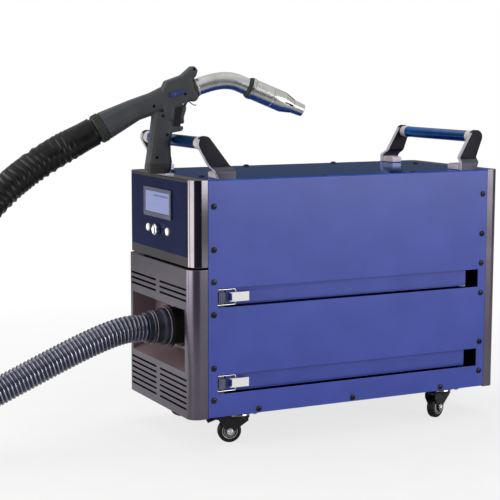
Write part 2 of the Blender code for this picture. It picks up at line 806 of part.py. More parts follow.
def control_places():
    middle = BODY_WIDTH / 2
    button = BUTTON_RADIUS + RUN_CLEARANCE
    return (
        (middle - BUTTON_OFFSET, button),
        (middle, KNOB_SHAFT + RUN_CLEARANCE),
        (middle + BUTTON_OFFSET, button),
    )


def control_hole(y, radius, deep, root):
    return rod("control_hole", (deep[0], y, CONTROL_Z), (deep[1], y, CONTROL_Z), radius, root)


def pocket_loft(name, front_x, back_x, grow, root):
    """The tapered tub of the inlet; grow adds its wall round it."""
    rings = []
    for x, share in ((front_x, 0), (back_x, 1)):
        inset = POCKET_INSET + POCKET_TAPER * share - grow
        bottom = POCKET_BOTTOM + POCKET_FLOOR_RISE * share - grow
        top = POCKET_TOP - POCKET_TAPER * share + grow
        corners = ((inset, bottom), (BODY_WIDTH - inset, bottom), (BODY_WIDTH - inset, top), (inset, top))
        rings.append([Vector((x, y, z)) for y, z in corners])
    return rings_object(name, rings, root)


def build_lower_cover(root):
    face = -LOWER_COVER_REACH
    cover = build_cover("front_lower_cover", -GAP, face, FLOOR_CLEARANCE - COVER_DROP, LOWER_COVER_TOP, root)
    fuse(cover, pocket_loft("pocket_tub", face + COVER_WALL / 2, FRONT_WALL_X - GAP, COVER_WALL, root))
    cut(cover, pocket_loft("pocket_hollow", face - OVERLAP, FRONT_WALL_X + OVERLAP, 0, root))
    deep = (face - FACE_CUT, face + FACE_CUT)
    upper = louvre_boxes(deep, UPPER_LOUVRE_TOP, UPPER_LOUVRE_PITCH, UPPER_LOUVRE_ROWS,
                         LOUVRE_HEIGHT, LOUVRE_INSET, LOUVRE_MIDDLE_GAP)
    lower = louvre_boxes(deep, LOWER_LOUVRE_TOP, LOWER_LOUVRE_PITCH, LOWER_LOUVRE_ROWS,
                         LOUVRE_HEIGHT, LOUVRE_INSET, LOUVRE_MIDDLE_GAP)
    return cut(cover, blocks("front_louvres", upper + lower, root))


def build_rear_cover(root):
    cover = build_cover("rear_cover", BODY_LENGTH + GAP, REAR_FACE_X,
                        FLOOR_CLEARANCE - COVER_DROP, BODY_TOP, root)
    deep = (REAR_FACE_X - FACE_CUT, REAR_FACE_X + FACE_CUT)
    louvres = louvre_boxes(deep, REAR_LOUVRE_TOP, REAR_LOUVRE_PITCH, REAR_LOUVRE_ROWS,
                           REAR_LOUVRE_HEIGHT, REAR_LOUVRE_INSET, LOUVRE_MIDDLE_GAP)
    socket_y = INLET_SOCKET_HALF_Y - INLET_FLANGE + GAP
    socket_z = INLET_SOCKET_HALF_Z - INLET_FLANGE + GAP
    switch_y = SWITCH_HALF_Y + RUN_CLEARANCE
    switch_z = SWITCH_HALF_Z + RUN_CLEARANCE
    openings = [
        (deep, (INLET_SOCKET_Y - socket_y, INLET_SOCKET_Y + socket_y),
         (POWER_Z - socket_z, POWER_Z + socket_z)),
        (deep, (SWITCH_Y - switch_y, SWITCH_Y + switch_y), (POWER_Z - switch_z, POWER_Z + switch_z)),
    ]
    cut(cover, blocks("rear_openings", louvres + openings, root))
    wall = REAR_FACE_X - COVER_WALL
    pin_x = wall - SWITCH_PIVOT_DEPTH
    cheeks = []
    for sign in (-1, 1):
        inner = SWITCH_Y + sign * switch_y
        outer = inner + sign * COVER_WALL
        deep_cheek = (pin_x - SWITCH_PIN * 2, wall + COVER_WALL / 2)
        tall = (POWER_Z - SWITCH_PIN * SWITCH_CHEEK_SHARE, POWER_Z + SWITCH_PIN * SWITCH_CHEEK_SHARE)
        cheeks.append(block("switch_cheek", deep_cheek, span(inner, outer), tall, root))
    fuse(cover, *cheeks)
    reach = switch_y + COVER_WALL + OVERLAP
    pin_hole = rod("switch_pin_hole", (pin_x, SWITCH_Y - reach, POWER_Z), (pin_x, SWITCH_Y + reach, POWER_Z),
                   SWITCH_PIN + GAP, root)
    return cut(cover, pin_hole)


# Controls

def build_fascia(root):
    plate = block("fascia_overlay", (FASCIA_FACE_X, FASCIA_FACE_X + FASCIA_THICK),
                  (FASCIA_INSET, BODY_WIDTH - FASCIA_INSET), (FASCIA_BOTTOM, FASCIA_TOP), root)
    deep = (FASCIA_FACE_X - OVERLAP, FASCIA_FACE_X + OVERLAP)
    view = block("fascia_view", deep, (VIEW_START_Y, VIEW_END_Y), (VIEW_BOTTOM, VIEW_TOP), root)
    holes = [control_hole(y, radius, deep, root) for y, radius in control_places()]
    return cut(plate, view, *holes)


def build_bezel(root):
    back = FASCIA_FACE_X - GAP
    bezel = block("display_bezel", (back - BEZEL_PROUD, back), (BEZEL_START_Y, BEZEL_END_Y),
                  (BEZEL_BOTTOM, BEZEL_TOP), root)
    view = block("bezel_view", (back - BEZEL_PROUD - OVERLAP, back + OVERLAP),
                 (VIEW_START_Y, VIEW_END_Y), (VIEW_BOTTOM, VIEW_TOP), root)
    return cut(bezel, view)


def build_display(root):
    """The character display: its glass stands in the view hole, its module behind the wall."""
    glass = FASCIA_FACE_X - BEZEL_PROUD + WINDOW_SETBACK
    wall = -UPPER_COVER_REACH + COVER_WALL + GAP
    fit = RUN_CLEARANCE / 2
    window = block("display_window", (glass, wall + OVERLAP / 2), (VIEW_START_Y + fit, VIEW_END_Y - fit),
                   (VIEW_BOTTOM + fit, VIEW_TOP - fit), root)
    module = block("display_module", (wall, wall + MODULE_DEPTH),
                   (VIEW_START_Y - MODULE_MARGIN_Y, VIEW_END_Y + MODULE_MARGIN_Y),
                   (VIEW_BOTTOM - MODULE_MARGIN_Z, VIEW_TOP + MODULE_MARGIN_Z), root)
    return fuse(window, module)


def build_button(name, y, root):
    wall = -UPPER_COVER_REACH + COVER_WALL + GAP
    face = FASCIA_FACE_X - BUTTON_PROUD
    flange = wall - face
    profile = (
        (0, 0), (0, BUTTON_RADIUS - BUTTON_CROWN), (BUTTON_CROWN, BUTTON_RADIUS), (flange, BUTTON_RADIUS),
        (flange, BUTTON_FLANGE), (flange + BUTTON_FLANGE_THICK, BUTTON_FLANGE),
        (flange + BUTTON_FLANGE_THICK, BUTTON_STEM), (flange + BUTTON_BODY, BUTTON_STEM),
        (flange + BUTTON_BODY, 0),
    )
    button = lathe(name, profile, (face, y, CONTROL_Z), AXIS_X, root, MIDDLE_STEPS)
    return pivot(button, (face, y, CONTROL_Z))


def build_knob(root):
    back = FASCIA_FACE_X - GAP
    y = BODY_WIDTH / 2
    profile = (
        (-KNOB_PROUD, 0), (-KNOB_PROUD, KNOB_RADIUS - KNOB_CHAMFER),
        (-KNOB_PROUD + KNOB_CHAMFER, KNOB_RADIUS),
        (0, KNOB_RADIUS), (0, KNOB_SHAFT), (KNOB_SHAFT_LENGTH, KNOB_SHAFT), (KNOB_SHAFT_LENGTH, 0),
    )
    knob = lathe("control_knob", profile, (back, y, CONTROL_Z), AXIS_X, root, MIDDLE_STEPS)
    return pivot(knob, (back, y, CONTROL_Z))


# Handles

def build_arm(name, foot_x, bar_x, near, root):
    top_y = ARM_TOP_LEAN + ARM_THICK / 2
    mid_x = foot_x + (bar_x - foot_x) * ARM_LEAN_START_X_SHARE
    mid_y = ARM_THICK / 2 + (top_y - ARM_THICK / 2) * ARM_LEAN_START_Y_SHARE
    places = (
        (BODY_TOP + GAP, foot_x, ARM_THICK / 2, ARM_FOOT_HALF),
        (BODY_TOP + ARM_STRAIGHT, foot_x, ARM_THICK / 2, ARM_FOOT_HALF),
        (BODY_TOP + ARM_BEND, mid_x, mid_y, ARM_NECK_HALF),
        (BAR_Z, bar_x, top_y, BAR_RADIUS),
    )
    rings = []
    for z, x, y, half in places:
        centre = Vector((x, mirrored_y(y, near), z))
        rings.append(rounded_ring(centre, AXIS_X, AXIS_Y, half, ARM_THICK / 2, ARM_CORNER_SHARE, 1))
    arm = rings_object(name, rings, root)
    low_y = mirrored_y(ARM_TOP_LEAN, near)
    high_y = mirrored_y(ARM_TOP_LEAN + ARM_THICK, near)
    boss = rod("arm_boss", (bar_x, low_y, BAR_Z), (bar_x, high_y, BAR_Z), BOSS_RADIUS, root, MIDDLE_STEPS)
    inner = span(mirrored_y(ARM_THICK / 2, near), mirrored_y(FOOT_REACH, near))
    foot = block("arm_foot", (foot_x - ARM_FOOT_HALF + ARM_CHAMFER, foot_x + ARM_FOOT_HALF - ARM_CHAMFER),
                 inner, (BODY_TOP + GAP, BODY_TOP + FOOT_HEIGHT), root)
    return fuse(arm, boss, foot)


def build_bar(name, x, root):
    start = ARM_TOP_LEAN + ARM_THICK + GAP
    length = BODY_WIDTH - 2 * start
    profile = (
        (0, 0), (0, FERRULE_RADIUS), (FERRULE_LENGTH, FERRULE_RADIUS), (FERRULE_LENGTH, BAR_RADIUS),
        (length - FERRULE_LENGTH, BAR_RADIUS), (length - FERRULE_LENGTH, FERRULE_RADIUS),
        (length, FERRULE_RADIUS), (length, 0),
    )
    return lathe(name, profile, (x, start, BAR_Z), AXIS_Y, root, MIDDLE_STEPS)


# Casters, each in its own frame: x runs the way the wheel trails, z is up from the floor

def build_caster(place, x, y, with_brake, root, looks):
    plate = caster_plate("caster_plate_" + place, root)
    plate.location = (x, y, 0)
    fork = caster_fork("caster_fork_" + place, with_brake, root)
    fork.location = (x, y, 0)
    fork.rotation_euler.z = math.radians(CASTER_TURNS[place])
    wheel = caster_wheel("caster_wheel_" + place, fork)
    wheel.location = (WHEEL_TRAIL, 0, WHEEL_RADIUS)
    finish(plate, looks["zinc"])
    finish(fork, looks["black_metal"])
    finish(wheel, looks["tyre"], True)
    if with_brake:
        pedal = caster_pedal("brake_pedal_" + place, fork)
        pedal.location = (PEDAL_PIVOT_X, 0, PEDAL_PIVOT_Z)
        finish(pedal, looks["black_plastic"])


def caster_plate(name, root):
    half = PLATE_SIDE / 2
    plate = block(name, (-half, half), (-half, half), (PLATE_TOP - PLATE_THICK, PLATE_TOP), root)
    race = rod("plate_race", (0, 0, RACE_BOTTOM), (0, 0, PLATE_TOP - PLATE_THICK / 2), RACE_RADIUS,
               root, MIDDLE_STEPS)
    fuse(plate, race)
    bore = rod("plate_bore", (0, 0, RACE_BOTTOM - OVERLAP), (0, 0, PLATE_TOP + OVERLAP),
               KINGPIN_RADIUS + RUN_CLEARANCE, root)
    return cut(plate, bore)


def caster_fork(name, with_brake, root):
    fork = rod(name, (0, 0, CROWN_BOTTOM), (0, 0, CROWN_TOP), CROWN_RADIUS, root, MIDDLE_STEPS)
    pin = rod("fork_kingpin", (0, 0, CROWN_BOTTOM + GAP), (0, 0, PLATE_TOP - GAP), KINGPIN_RADIUS, root)
    outline = [
        (-LEG_FRONT, CROWN_TOP - GAP), (-LEG_FRONT, EAR_BOTTOM), (WHEEL_TRAIL - LEG_TOE_HALF, WHEEL_RADIUS),
        (WHEEL_TRAIL - LEG_TOE_HALF / 2, WHEEL_RADIUS - LEG_TOE_HALF),
        (WHEEL_TRAIL + LEG_TOE_HALF / 2, WHEEL_RADIUS - LEG_TOE_HALF),
        (WHEEL_TRAIL + LEG_TOE_HALF, WHEEL_RADIUS), (EAR_REACH, EAR_BOTTOM), (EAR_REACH, CROWN_TOP - GAP),
    ]
    legs = []
    for sign in (-1, 1):
        y = span(sign * LEG_INNER, sign * (LEG_INNER + LEG_THICK))
        legs.append(prism("fork_leg", outline, y[0], y[1], "y", root))
    axle = rod("fork_axle", (WHEEL_TRAIL, -AXLE_REACH, WHEEL_RADIUS), (WHEEL_TRAIL, AXLE_REACH, WHEEL_RADIUS),
               AXLE_RADIUS, root, PIN_STEPS)
    parts = [pin, *legs, axle]
    if with_brake:
        reach = LEG_INNER + LEG_THICK + GAP
        radius = PEDAL_THICK / 2 - RUN_CLEARANCE
        parts.append(rod("fork_pedal_pin", (PEDAL_PIVOT_X, -reach, PEDAL_PIVOT_Z),
                         (PEDAL_PIVOT_X, reach, PEDAL_PIVOT_Z), radius, root, PIN_STEPS))
    return fuse(fork, *parts)


def caster_wheel(name, parent):
    half = WHEEL_WIDTH / 2
    rim = half - TREAD_ROUND
    profile = (
        (-half, WHEEL_BORE), (-half, HUB_RADIUS), (-half + HUB_DISH, HUB_RADIUS * HUB_RIM_SHARE),
        (-half, WHEEL_RADIUS - TREAD_ROUND), (-rim, WHEEL_RADIUS), (rim, WHEEL_RADIUS),
        (half, WHEEL_RADIUS - TREAD_ROUND), (half - HUB_DISH, HUB_RADIUS * HUB_RIM_SHARE),
        (half, HUB_RADIUS), (half, WHEEL_BORE),
    )
    return lathe(name, profile, (0, 0, 0), AXIS_Y, parent, ROUND_STEPS, True)


def caster_pedal(name, parent):
    """A pressed pedal whose eye turns on the pin between the fork's ears."""
    top = PEDAL_PIVOT_Z + PEDAL_THICK
    outline = (
        (PEDAL_START, top), (PEDAL_BEND, top), (PEDAL_TOE, top - PEDAL_TOE_DROP),
        (PEDAL_TOE, top - PEDAL_TOE_DROP - PEDAL_THICK), (PEDAL_BEND, top - PEDAL_THICK * PEDAL_HEEL_SHARE),
        (PEDAL_PIVOT_X + PEDAL_THICK, PEDAL_PIVOT_Z - PEDAL_THICK),
        (PEDAL_START, PEDAL_PIVOT_Z - PEDAL_THICK),
    )
    pedal = prism(name, [(x - PEDAL_PIVOT_X, z - PEDAL_PIVOT_Z) for x, z in outline],
                  -PEDAL_HALF_WIDTH, PEDAL_HALF_WIDTH, "y", parent)
    reach = PEDAL_HALF_WIDTH + OVERLAP
    eye = rod("pedal_eye", (0, -reach, 0), (0, reach, 0), PEDAL_THICK / 2, parent, PIN_STEPS)
    eye.parent = pedal
    return cut(pedal, eye)


# Trays and latches

def build_tray(name, slot_z, bottom_open, root):
    """A sliding frame behind a folded front; the filter's is open below, the dust pan's closed."""
    low = slot_z + RAIL_THICK + GAP if bottom_open else slot_z + TRAY_LIFT
    high = slot_z + SLOT_HEIGHT - TRAY_WALL
    start_y = TRAY_FACE_Y + TRAY_FACE_THICK / 2
    end_y = TRAY_FACE_Y + TRAY_DEPTH
    tray = block(name, (TRAY_START, TRAY_END), (start_y, end_y), (low, high), root)
    face = block("tray_face", (TRAY_START, TRAY_END), (TRAY_FACE_Y, TRAY_FACE_Y + TRAY_FACE_THICK),
                 (slot_z + SLOT_HEIGHT - GAP - TRAY_FACE_DROP, slot_z + SLOT_HEIGHT - GAP), root)
    middle = slot_z + SLOT_HEIGHT / 2
    half = LATCH_BASE_HALF
    wide = LATCH_BASE_WIDTH_HALF
    base = block("latch_base", (LATCH_PIVOT_X - wide, LATCH_PIVOT_X + wide),
                 (LATCH_PIVOT_Y - LATCH_BASE_NOSE, TRAY_FACE_Y + TRAY_FACE_THICK / 2),
                 (middle - half, middle + half), root)
    pin_reach = LEVER_HALF_HEIGHT + GAP
    pin = rod("latch_pin", (LATCH_PIVOT_X, LATCH_PIVOT_Y, middle - pin_reach),
              (LATCH_PIVOT_X, LATCH_PIVOT_Y, middle + pin_reach), LATCH_PIN_RADIUS, root, PIN_STEPS)
    fuse(tray, face, base, pin)
    hollow = block("tray_hollow", (TRAY_START + TRAY_WALL, TRAY_END - TRAY_WALL),
                   (TRAY_FACE_Y + TRAY_FACE_THICK + TRAY_WALL, end_y - TRAY_WALL),
                   (low + TRAY_WALL, high + OVERLAP), root)
    cut(tray, hollow)
    if bottom_open:
        ledge = TRAY_WALL + TRAY_LEDGE
        window = block("tray_window", (TRAY_START + ledge, TRAY_END - ledge),
                       (TRAY_FACE_Y + ledge, end_y - ledge), (low - OVERLAP, low + OVERLAP), root)
        cut(tray, window)
    return tray


def build_media(root):
    """A pleated filter block that stands on the tray's ledge; the pleats run along the machine."""
    low = UPPER_SLOT_Z + RAIL_THICK + TRAY_WALL + 2 * GAP
    high = UPPER_SLOT_Z + SLOT_HEIGHT - TRAY_WALL - MEDIA_CLEARANCE
    margin = TRAY_WALL + MEDIA_CLEARANCE
    start = TRAY_FACE_Y + TRAY_FACE_THICK + margin
    end = TRAY_FACE_Y + TRAY_DEPTH - margin
    pitch = (end - start) / PLEAT_COUNT
    upper = []
    lower = []
    for i in range(PLEAT_COUNT):
        left = start + i * pitch
        upper.extend(((left, high - PLEAT_DEPTH), (left + pitch / 2, high)))
        lower.extend(((left, low), (left + pitch / 2, low + PLEAT_DEPTH)))
    upper.append((end, high - PLEAT_DEPTH))
    lower.append((end, low))
    return prism("filter_media", upper + lower[::-1], TRAY_START + margin, TRAY_END - margin, "x", root)


def build_latch_lever(name, slot_z, tray):
    middle = slot_z + SLOT_HEIGHT / 2
    outer = LEVER_OUTER_Y
    inner = outer + LEVER_THICK
    lever = block(name, (LEVER_START, LEVER_END), (outer, inner),
                  (middle - LEVER_HALF_HEIGHT, middle + LEVER_HALF_HEIGHT), tray)
    cheeks = []
    for sign in (-1, 1):
        edge = middle + sign * LEVER_HALF_HEIGHT
        tall = span(edge, edge - sign * LEVER_THICK)
        cheeks.append(block("lever_cheek", (LEVER_START - LEVER_CHEEK_LEAD, LEVER_CHEEK_END),
                            (inner - LEVER_THICK / 2, outer + LEVER_CHEEK_DEPTH), tall, tray))
    fuse(lever, *cheeks)
    tools = []
    for x in (LATCH_PIVOT_X, BAIL_PIN_X):
        radius = max(LATCH_PIN_RADIUS, BAIL_WIRE_RADIUS) + RUN_CLEARANCE
        reach = LEVER_HALF_HEIGHT + OVERLAP
        tools.append(rod("lever_bore", (x, LATCH_PIVOT_Y, middle - reach), (x, LATCH_PIVOT_Y, middle + reach),
                         radius, tray, PIN_STEPS))
    cut(lever, *tools)
    return pivot(lever, (LATCH_PIVOT_X, LATCH_PIVOT_Y, middle))


def build_bail(name, slot_z, lever):
    """A closed loop of round wire; its right side is the pin in the lever."""
    middle = slot_z + SLOT_HEIGHT / 2
    radius = BAIL_WIRE_RADIUS
    corner = radius * BAIL_CORNER_SHARE
    tall = BAIL_HALF_HEIGHT - corner
    centres = (
        (BAIL_PIN_X - corner, tall, 0), (BAIL_HOOK_X + corner, tall, 1),
        (BAIL_HOOK_X + corner, -tall, 2), (BAIL_PIN_X - corner, -tall, 3),
    )
    rings = []
    for x, z, quarter in centres:
        for i in range(4):
            turn = (quarter + i / 3) * math.pi / 2
            outward = Vector((math.cos(turn), 0, math.sin(turn)))
            centre = Vector((x, LATCH_PIVOT_Y, middle + z)) + outward * corner
            ring = []
            for k in range(BAIL_SIDES):
                angle = 2 * math.pi * k / BAIL_SIDES
                ring.append(centre + radius * (math.cos(angle) * outward + math.sin(angle) * AXIS_Y))
            rings.append(ring)
    bail = rings_object(name, rings, lever, True)
    pivot(bail, (BAIL_PIN_X, LATCH_PIVOT_Y, middle))
    bail.location = Vector((BAIL_PIN_X - LATCH_PIVOT_X, 0, 0))
    return bail


def build_catch(name, slot_z, root):
    """The ribbed nose the bail hooks behind, on a bridge that spans the slot from inside."""
    middle = slot_z + SLOT_HEIGHT / 2
    nose_back = CATCH_PLATE_Y + CATCH_PLATE / 2
    outer = CATCH_BRIDGE + CATCH_FOOT
    start = INNER_SIDE
    span_z = CATCH_BRIDGE
    far_z = CATCH_BRIDGE + CATCH_PLATE
    deep = CATCH_PLATE_Y + CATCH_PLATE
    foot = start + CATCH_PLATE
    outline = (
        (start, -outer), (start, -span_z), (CATCH_PLATE_Y, -span_z), (CATCH_PLATE_Y, span_z),
        (start, span_z), (start, outer), (foot, outer), (foot, far_z), (deep, far_z),
        (deep, -far_z), (foot, -far_z), (foot, -outer),
    )
    bridge = prism(name, [(y, middle + z) for y, z in outline], CATCH_START, CATCH_END, "x", root)
    pitch = (CATCH_END - CATCH_START) / CATCH_RIB_COUNT
    face = [(CATCH_START, nose_back)]
    for i in range(CATCH_RIB_COUNT):
        left = CATCH_START + i * pitch
        face.append((left, CATCH_NOSE_Y + CATCH_RIB_DEPTH))
        face.append((left + pitch * CATCH_RIB_CREST_SHARE, CATCH_NOSE_Y))
    face.append((CATCH_END, CATCH_NOSE_Y + CATCH_RIB_DEPTH))
    face.append((CATCH_END, nose_back))
    nose = prism("catch_nose", face, middle - CATCH_HALF_HEIGHT, middle + CATCH_HALF_HEIGHT, "z", root)
    return fuse(bridge, nose)


# Turbine

def build_blower(root):
    """The turbine's drum with its motor can; the intake is below and the port faces the rear."""
    base = DECK_Z + SHEET + GAP
    wall = BLOWER_WALL
    profile = (
        (0, INTAKE_RADIUS), (0, BLOWER_RADIUS), (BLOWER_HEIGHT, BLOWER_RADIUS), (BLOWER_HEIGHT, MOTOR_RADIUS),
        (BLOWER_HEIGHT + MOTOR_HEIGHT, MOTOR_RADIUS), (BLOWER_HEIGHT + MOTOR_HEIGHT, KINGPIN_RADIUS),
        (BLOWER_HEIGHT - wall, KINGPIN_RADIUS), (BLOWER_HEIGHT - wall, BLOWER_RADIUS - wall),
        (wall, BLOWER_RADIUS - wall), (wall, INTAKE_RADIUS),
    )
    drum = lathe("blower_housing", profile, (BLOWER_X, INLET_Y, base), AXIS_Z, root, ROUND_STEPS, True)
    port_low = base + wall + IMPELLER_LIFT
    port = block("blower_port", (BLOWER_X + IMPELLER_RADIUS, BLOWER_X + BLOWER_RADIUS + OVERLAP),
                 (INLET_Y - BLOWER_PORT_HALF, INLET_Y + BLOWER_PORT_HALF),
                 (port_low, port_low + BLOWER_PORT_HEIGHT), root)
    return cut(drum, port)


def build_impeller(root):
    """A backplate with swept blades below it, on the motor's shaft."""
    base = DECK_Z + SHEET + GAP + BLOWER_WALL + IMPELLER_LIFT
    top = BLADE_HEIGHT + IMPELLER_PLATE
    shaft = KINGPIN_RADIUS - RUN_CLEARANCE
    shaft_top = BLOWER_HEIGHT + MOTOR_HEIGHT / 2 - IMPELLER_LIFT
    profile = (
        (0, 0), (0, HUB_HALF), (BLADE_HEIGHT, HUB_HALF), (BLADE_HEIGHT, IMPELLER_RADIUS),
        (top, IMPELLER_RADIUS), (top, shaft), (shaft_top, shaft), (shaft_top, 0),
    )
    wheel = lathe("turbine_impeller", profile, (0, 0, 0), AXIS_Z, root, ROUND_STEPS)
    blades = []
    for i in range(BLADE_COUNT):
        turn = 2 * math.pi * i / BLADE_COUNT
        inner = Vector((BLADE_START * math.cos(turn), BLADE_START * math.sin(turn), 0))
        outer_turn = turn + BLADE_SWEEP
        edge = IMPELLER_RADIUS - BLADE_THICK
        outer = Vector((edge * math.cos(outer_turn), edge * math.sin(outer_turn), 0))
        side = (outer - inner).cross(AXIS_Z).normalized() * BLADE_THICK / 2
        ring = [inner - side, outer - side, outer + side, inner + side]
        lift = AXIS_Z * (BLADE_HEIGHT + IMPELLER_PLATE / 2)
        blades.append(rings_object("impeller_blade", [ring, [p + lift for p in ring]], root))
    fuse(wheel, *blades)
    wheel.location = (BLOWER_X, INLET_Y, base)
    return wheel


# Inlet

def build_collar(root):
    """The stub through the front wall, with the bead the cuff seats on."""
    wall = FRONT_WALL_X
    tail = wall + SHEET + COLLAR_TAIL
    profile = (
        (COLLAR_FACE_X, COLLAR_BORE), (COLLAR_FACE_X, COLLAR_FLANGE_RADIUS),
        (COLLAR_FACE_X + COLLAR_FLANGE_THICK, COLLAR_FLANGE_RADIUS),
        (COLLAR_FACE_X + COLLAR_FLANGE_THICK, COLLAR_RADIUS), (wall - COLLAR_FLANGE_THICK, COLLAR_RADIUS),
        (wall - COLLAR_FLANGE_THICK, COLLAR_FLANGE_RADIUS), (wall - GAP, COLLAR_FLANGE_RADIUS),
        (wall - GAP, COLLAR_RADIUS - GAP), (tail, COLLAR_RADIUS - GAP), (tail, COLLAR_BORE),
    )
    return lathe("inlet_collar", profile, (0, INLET_Y, INLET_Z), AXIS_X, root, ROUND_STEPS, True)


def build_cuff(root):
    seat = COLLAR_FACE_X - GAP
    proud = CUFF_RING_PROUD
    profile = (
        (seat + CUFF_SPIGOT_LENGTH, HOSE_BORE), (seat + CUFF_SPIGOT_LENGTH, CUFF_SPIGOT_RADIUS),
        (seat, CUFF_SPIGOT_RADIUS), (seat, CUFF_LARGE_RADIUS + proud), (seat - proud * 3, CUFF_LARGE_RADIUS),
        (CUFF_LARGE_END, CUFF_LARGE_RADIUS), (CUFF_TAPER_END, CUFF_SMALL_RADIUS),
        (CUFF_RING_START, CUFF_SMALL_RADIUS), (CUFF_RING_START, CUFF_SMALL_RADIUS + proud),
        (CUFF_RING_END, CUFF_SMALL_RADIUS + proud), (CUFF_RING_END, CUFF_MOUTH_RADIUS),
        (CUFF_END_X, CUFF_MOUTH_RADIUS), (CUFF_END_X, HOSE_BORE),
    )
    return lathe("hose_cuff", profile, (0, INLET_Y, INLET_Z), AXIS_X, root, ROUND_STEPS, True)


# Lead: hose, joint and sleeve

def bezier(points, share):
    a, b, c, d = points
    rest = 1 - share
    return a * rest ** 3 + b * 3 * rest ** 2 * share + c * 3 * rest * share ** 2 + d * share ** 3


def spaced(path, step):
    """Points along a fine path at even distances of about the step, ends kept."""
    lengths = [0.0]
    for a, b in zip(path, path[1:]):
        lengths.append(lengths[-1] + (b - a).length)
    count = max(2, round(lengths[-1] / step))
    found = []
    i = 0
    for k in range(count + 1):
        target = lengths[-1] * k / count
        while i < len(lengths) - 2 and lengths[i + 1] < target:
            i += 1
        part = (target - lengths[i]) / (lengths[i + 1] - lengths[i])
        found.append(path[i].lerp(path[i + 1], part))
    return found


def fine_bezier(points, count=ROUTE_STEPS):
    return [bezier(points, i / count) for i in range(count + 1)]


def hose_route():
    """From the cuff down to the floor, forward, then round the loop to its open end."""
    floor = HOSE_RADIUS + FLOOR_SKIM
    start = Vector((CUFF_END_X - GAP, INLET_Y, INLET_Z))
    land = Vector((HOSE_LAND_X, INLET_Y, floor))
    straight = Vector((-2 * HOSE_RADIUS * END_STRAIGHT_SHARE, 0, 0))
    leave = start + straight / 2
    sag = (leave, leave - AXIS_X * HOSE_SAG_START, land + AXIS_X * HOSE_SAG_END, land)
    path = [start, *fine_bezier(sag)]
    centre = Vector((LOOP_CENTRE_X, INLET_Y - LOOP_RADIUS, floor))
    for i in range(ROUTE_STEPS + 1):
        turn = math.pi / 2 + LOOP_TURN * i / ROUTE_STEPS
        path.append(centre + LOOP_RADIUS * Vector((math.cos(turn), math.sin(turn), 0)))
    heading = loop_heading()
    path.append(path[-1] + heading * 2 * HOSE_RADIUS * END_STRAIGHT_SHARE)
    return path


def loop_heading():
    turn = math.pi / 2 + LOOP_TURN
    return Vector((-math.sin(turn), math.cos(turn), 0))


def tube(name, centres, radii, steps, parent):
    """A swept tube: rings square to the path, turned as little as the path allows."""
    curve = bpy.data.curves.new(name, "CURVE")
    curve.dimensions = "3D"
    curve.bevel_depth = 1.0
    curve.bevel_resolution = (steps - 4) // 2
    curve.use_fill_caps = True
    curve.twist_mode = "MINIMUM"
    line = curve.splines.new("POLY")
    line.points.add(len(centres) - 1)
    for point, centre, radius in zip(line.points, centres, radii):
        point.co = (*centre, 1.0)
        point.radius = radius
    guide = bpy.data.objects.new(name + "_guide", curve)
    bpy.context.collection.objects.link(guide)
    mesh = bpy.data.meshes.new_from_object(guide)
    bpy.data.objects.remove(guide, do_unlink=True)
    bpy.data.curves.remove(curve)
    work = bmesh.new()
    work.from_mesh(mesh)
    bmesh.ops.remove_doubles(work, verts=work.verts, dist=GAP / 10)
    bmesh.ops.recalc_face_normals(work, faces=work.faces)
    work.to_mesh(mesh)
    work.free()
    made = bpy.data.objects.new(name, mesh)
    bpy.context.collection.objects.link(made)
    made.parent = parent
    return made


def build_hose(root):
    route = hose_route()
    centres = spaced(route, RIB_PITCH / 2)
    radii = [HOSE_RADIUS if i % 2 else HOSE_VALLEY for i in range(len(centres))]
    hose = tube("extraction_hose", centres, radii, 8, root)
    length = sum((b - a).length for a, b in zip(route, route[1:]))
    axis = spaced(route, length / BORE_STEPS)
    axis[0] = axis[0] + (axis[0] - axis[1]).normalized() * OVERLAP
    axis[-1] = axis[-1] + (axis[-1] - axis[-2]).normalized() * OVERLAP
    bore = tube("hose_bore", axis, [HOSE_BORE * HOSE_VALLEY / HOSE_RADIUS] * len(axis), 8, root)
    print("hose length", round(length, 3), "ribs", len(centres) // 2)
    return cut(hose, bore)


def joint_place():
    """Where the hose ends and the joint begins."""
    return hose_route()[-1] + loop_heading() * GAP


def build_joint(root):
    start = joint_place()
    lift = JOINT_RING_RADIUS - HOSE_RADIUS
    ring = JOINT_RING_LENGTH
    radius = JOINT_RING_RADIUS - lift
    middle = HOSE_RADIUS - lift / 2
    profile = (
        (0, JOINT_BORE), (0, radius), (ring, radius), (ring, middle), (JOINT_LENGTH - ring, middle),
        (JOINT_LENGTH - ring, radius), (JOINT_LENGTH, radius), (JOINT_LENGTH, JOINT_BORE),
    )
    return lathe("hose_joint", profile, start, loop_heading(), root, MIDDLE_STEPS, True)


def torch_point(u, v, w):
    """A place in the torch's own frame, in the frame of the machine."""
    turned = Matrix.Rotation(TORCH_TURN, 3, "Z") @ Vector((u, v, w))
    return Vector((BAR_FRONT_X, TORCH_Y, BAR_Z)) + turned


def sleeve_route():
    heading = loop_heading()
    lift = AXIS_Z * (SLEEVE_RADIUS - HOSE_RADIUS)
    start = joint_place() + heading * (JOINT_LENGTH + GAP) + lift
    out = 2 * SLEEVE_RADIUS * END_STRAIGHT_SHARE
    leave = start + heading * out
    back = Vector((-math.cos(REAR_PITCH), 0, -math.sin(REAR_PITCH)))
    end = torch_point(REAR_JOINT_U, 0, REAR_JOINT_W)
    back = Matrix.Rotation(TORCH_TURN, 3, "Z") @ back
    end = end + back * (NUT_LENGTH + 2 * GAP)
    arrive = end + back * out
    sweep = (leave, leave + heading * SLEEVE_FLOOR_PULL, arrive + back * SLEEVE_TORCH_PULL, arrive)
    return [start, *fine_bezier(sweep), end]


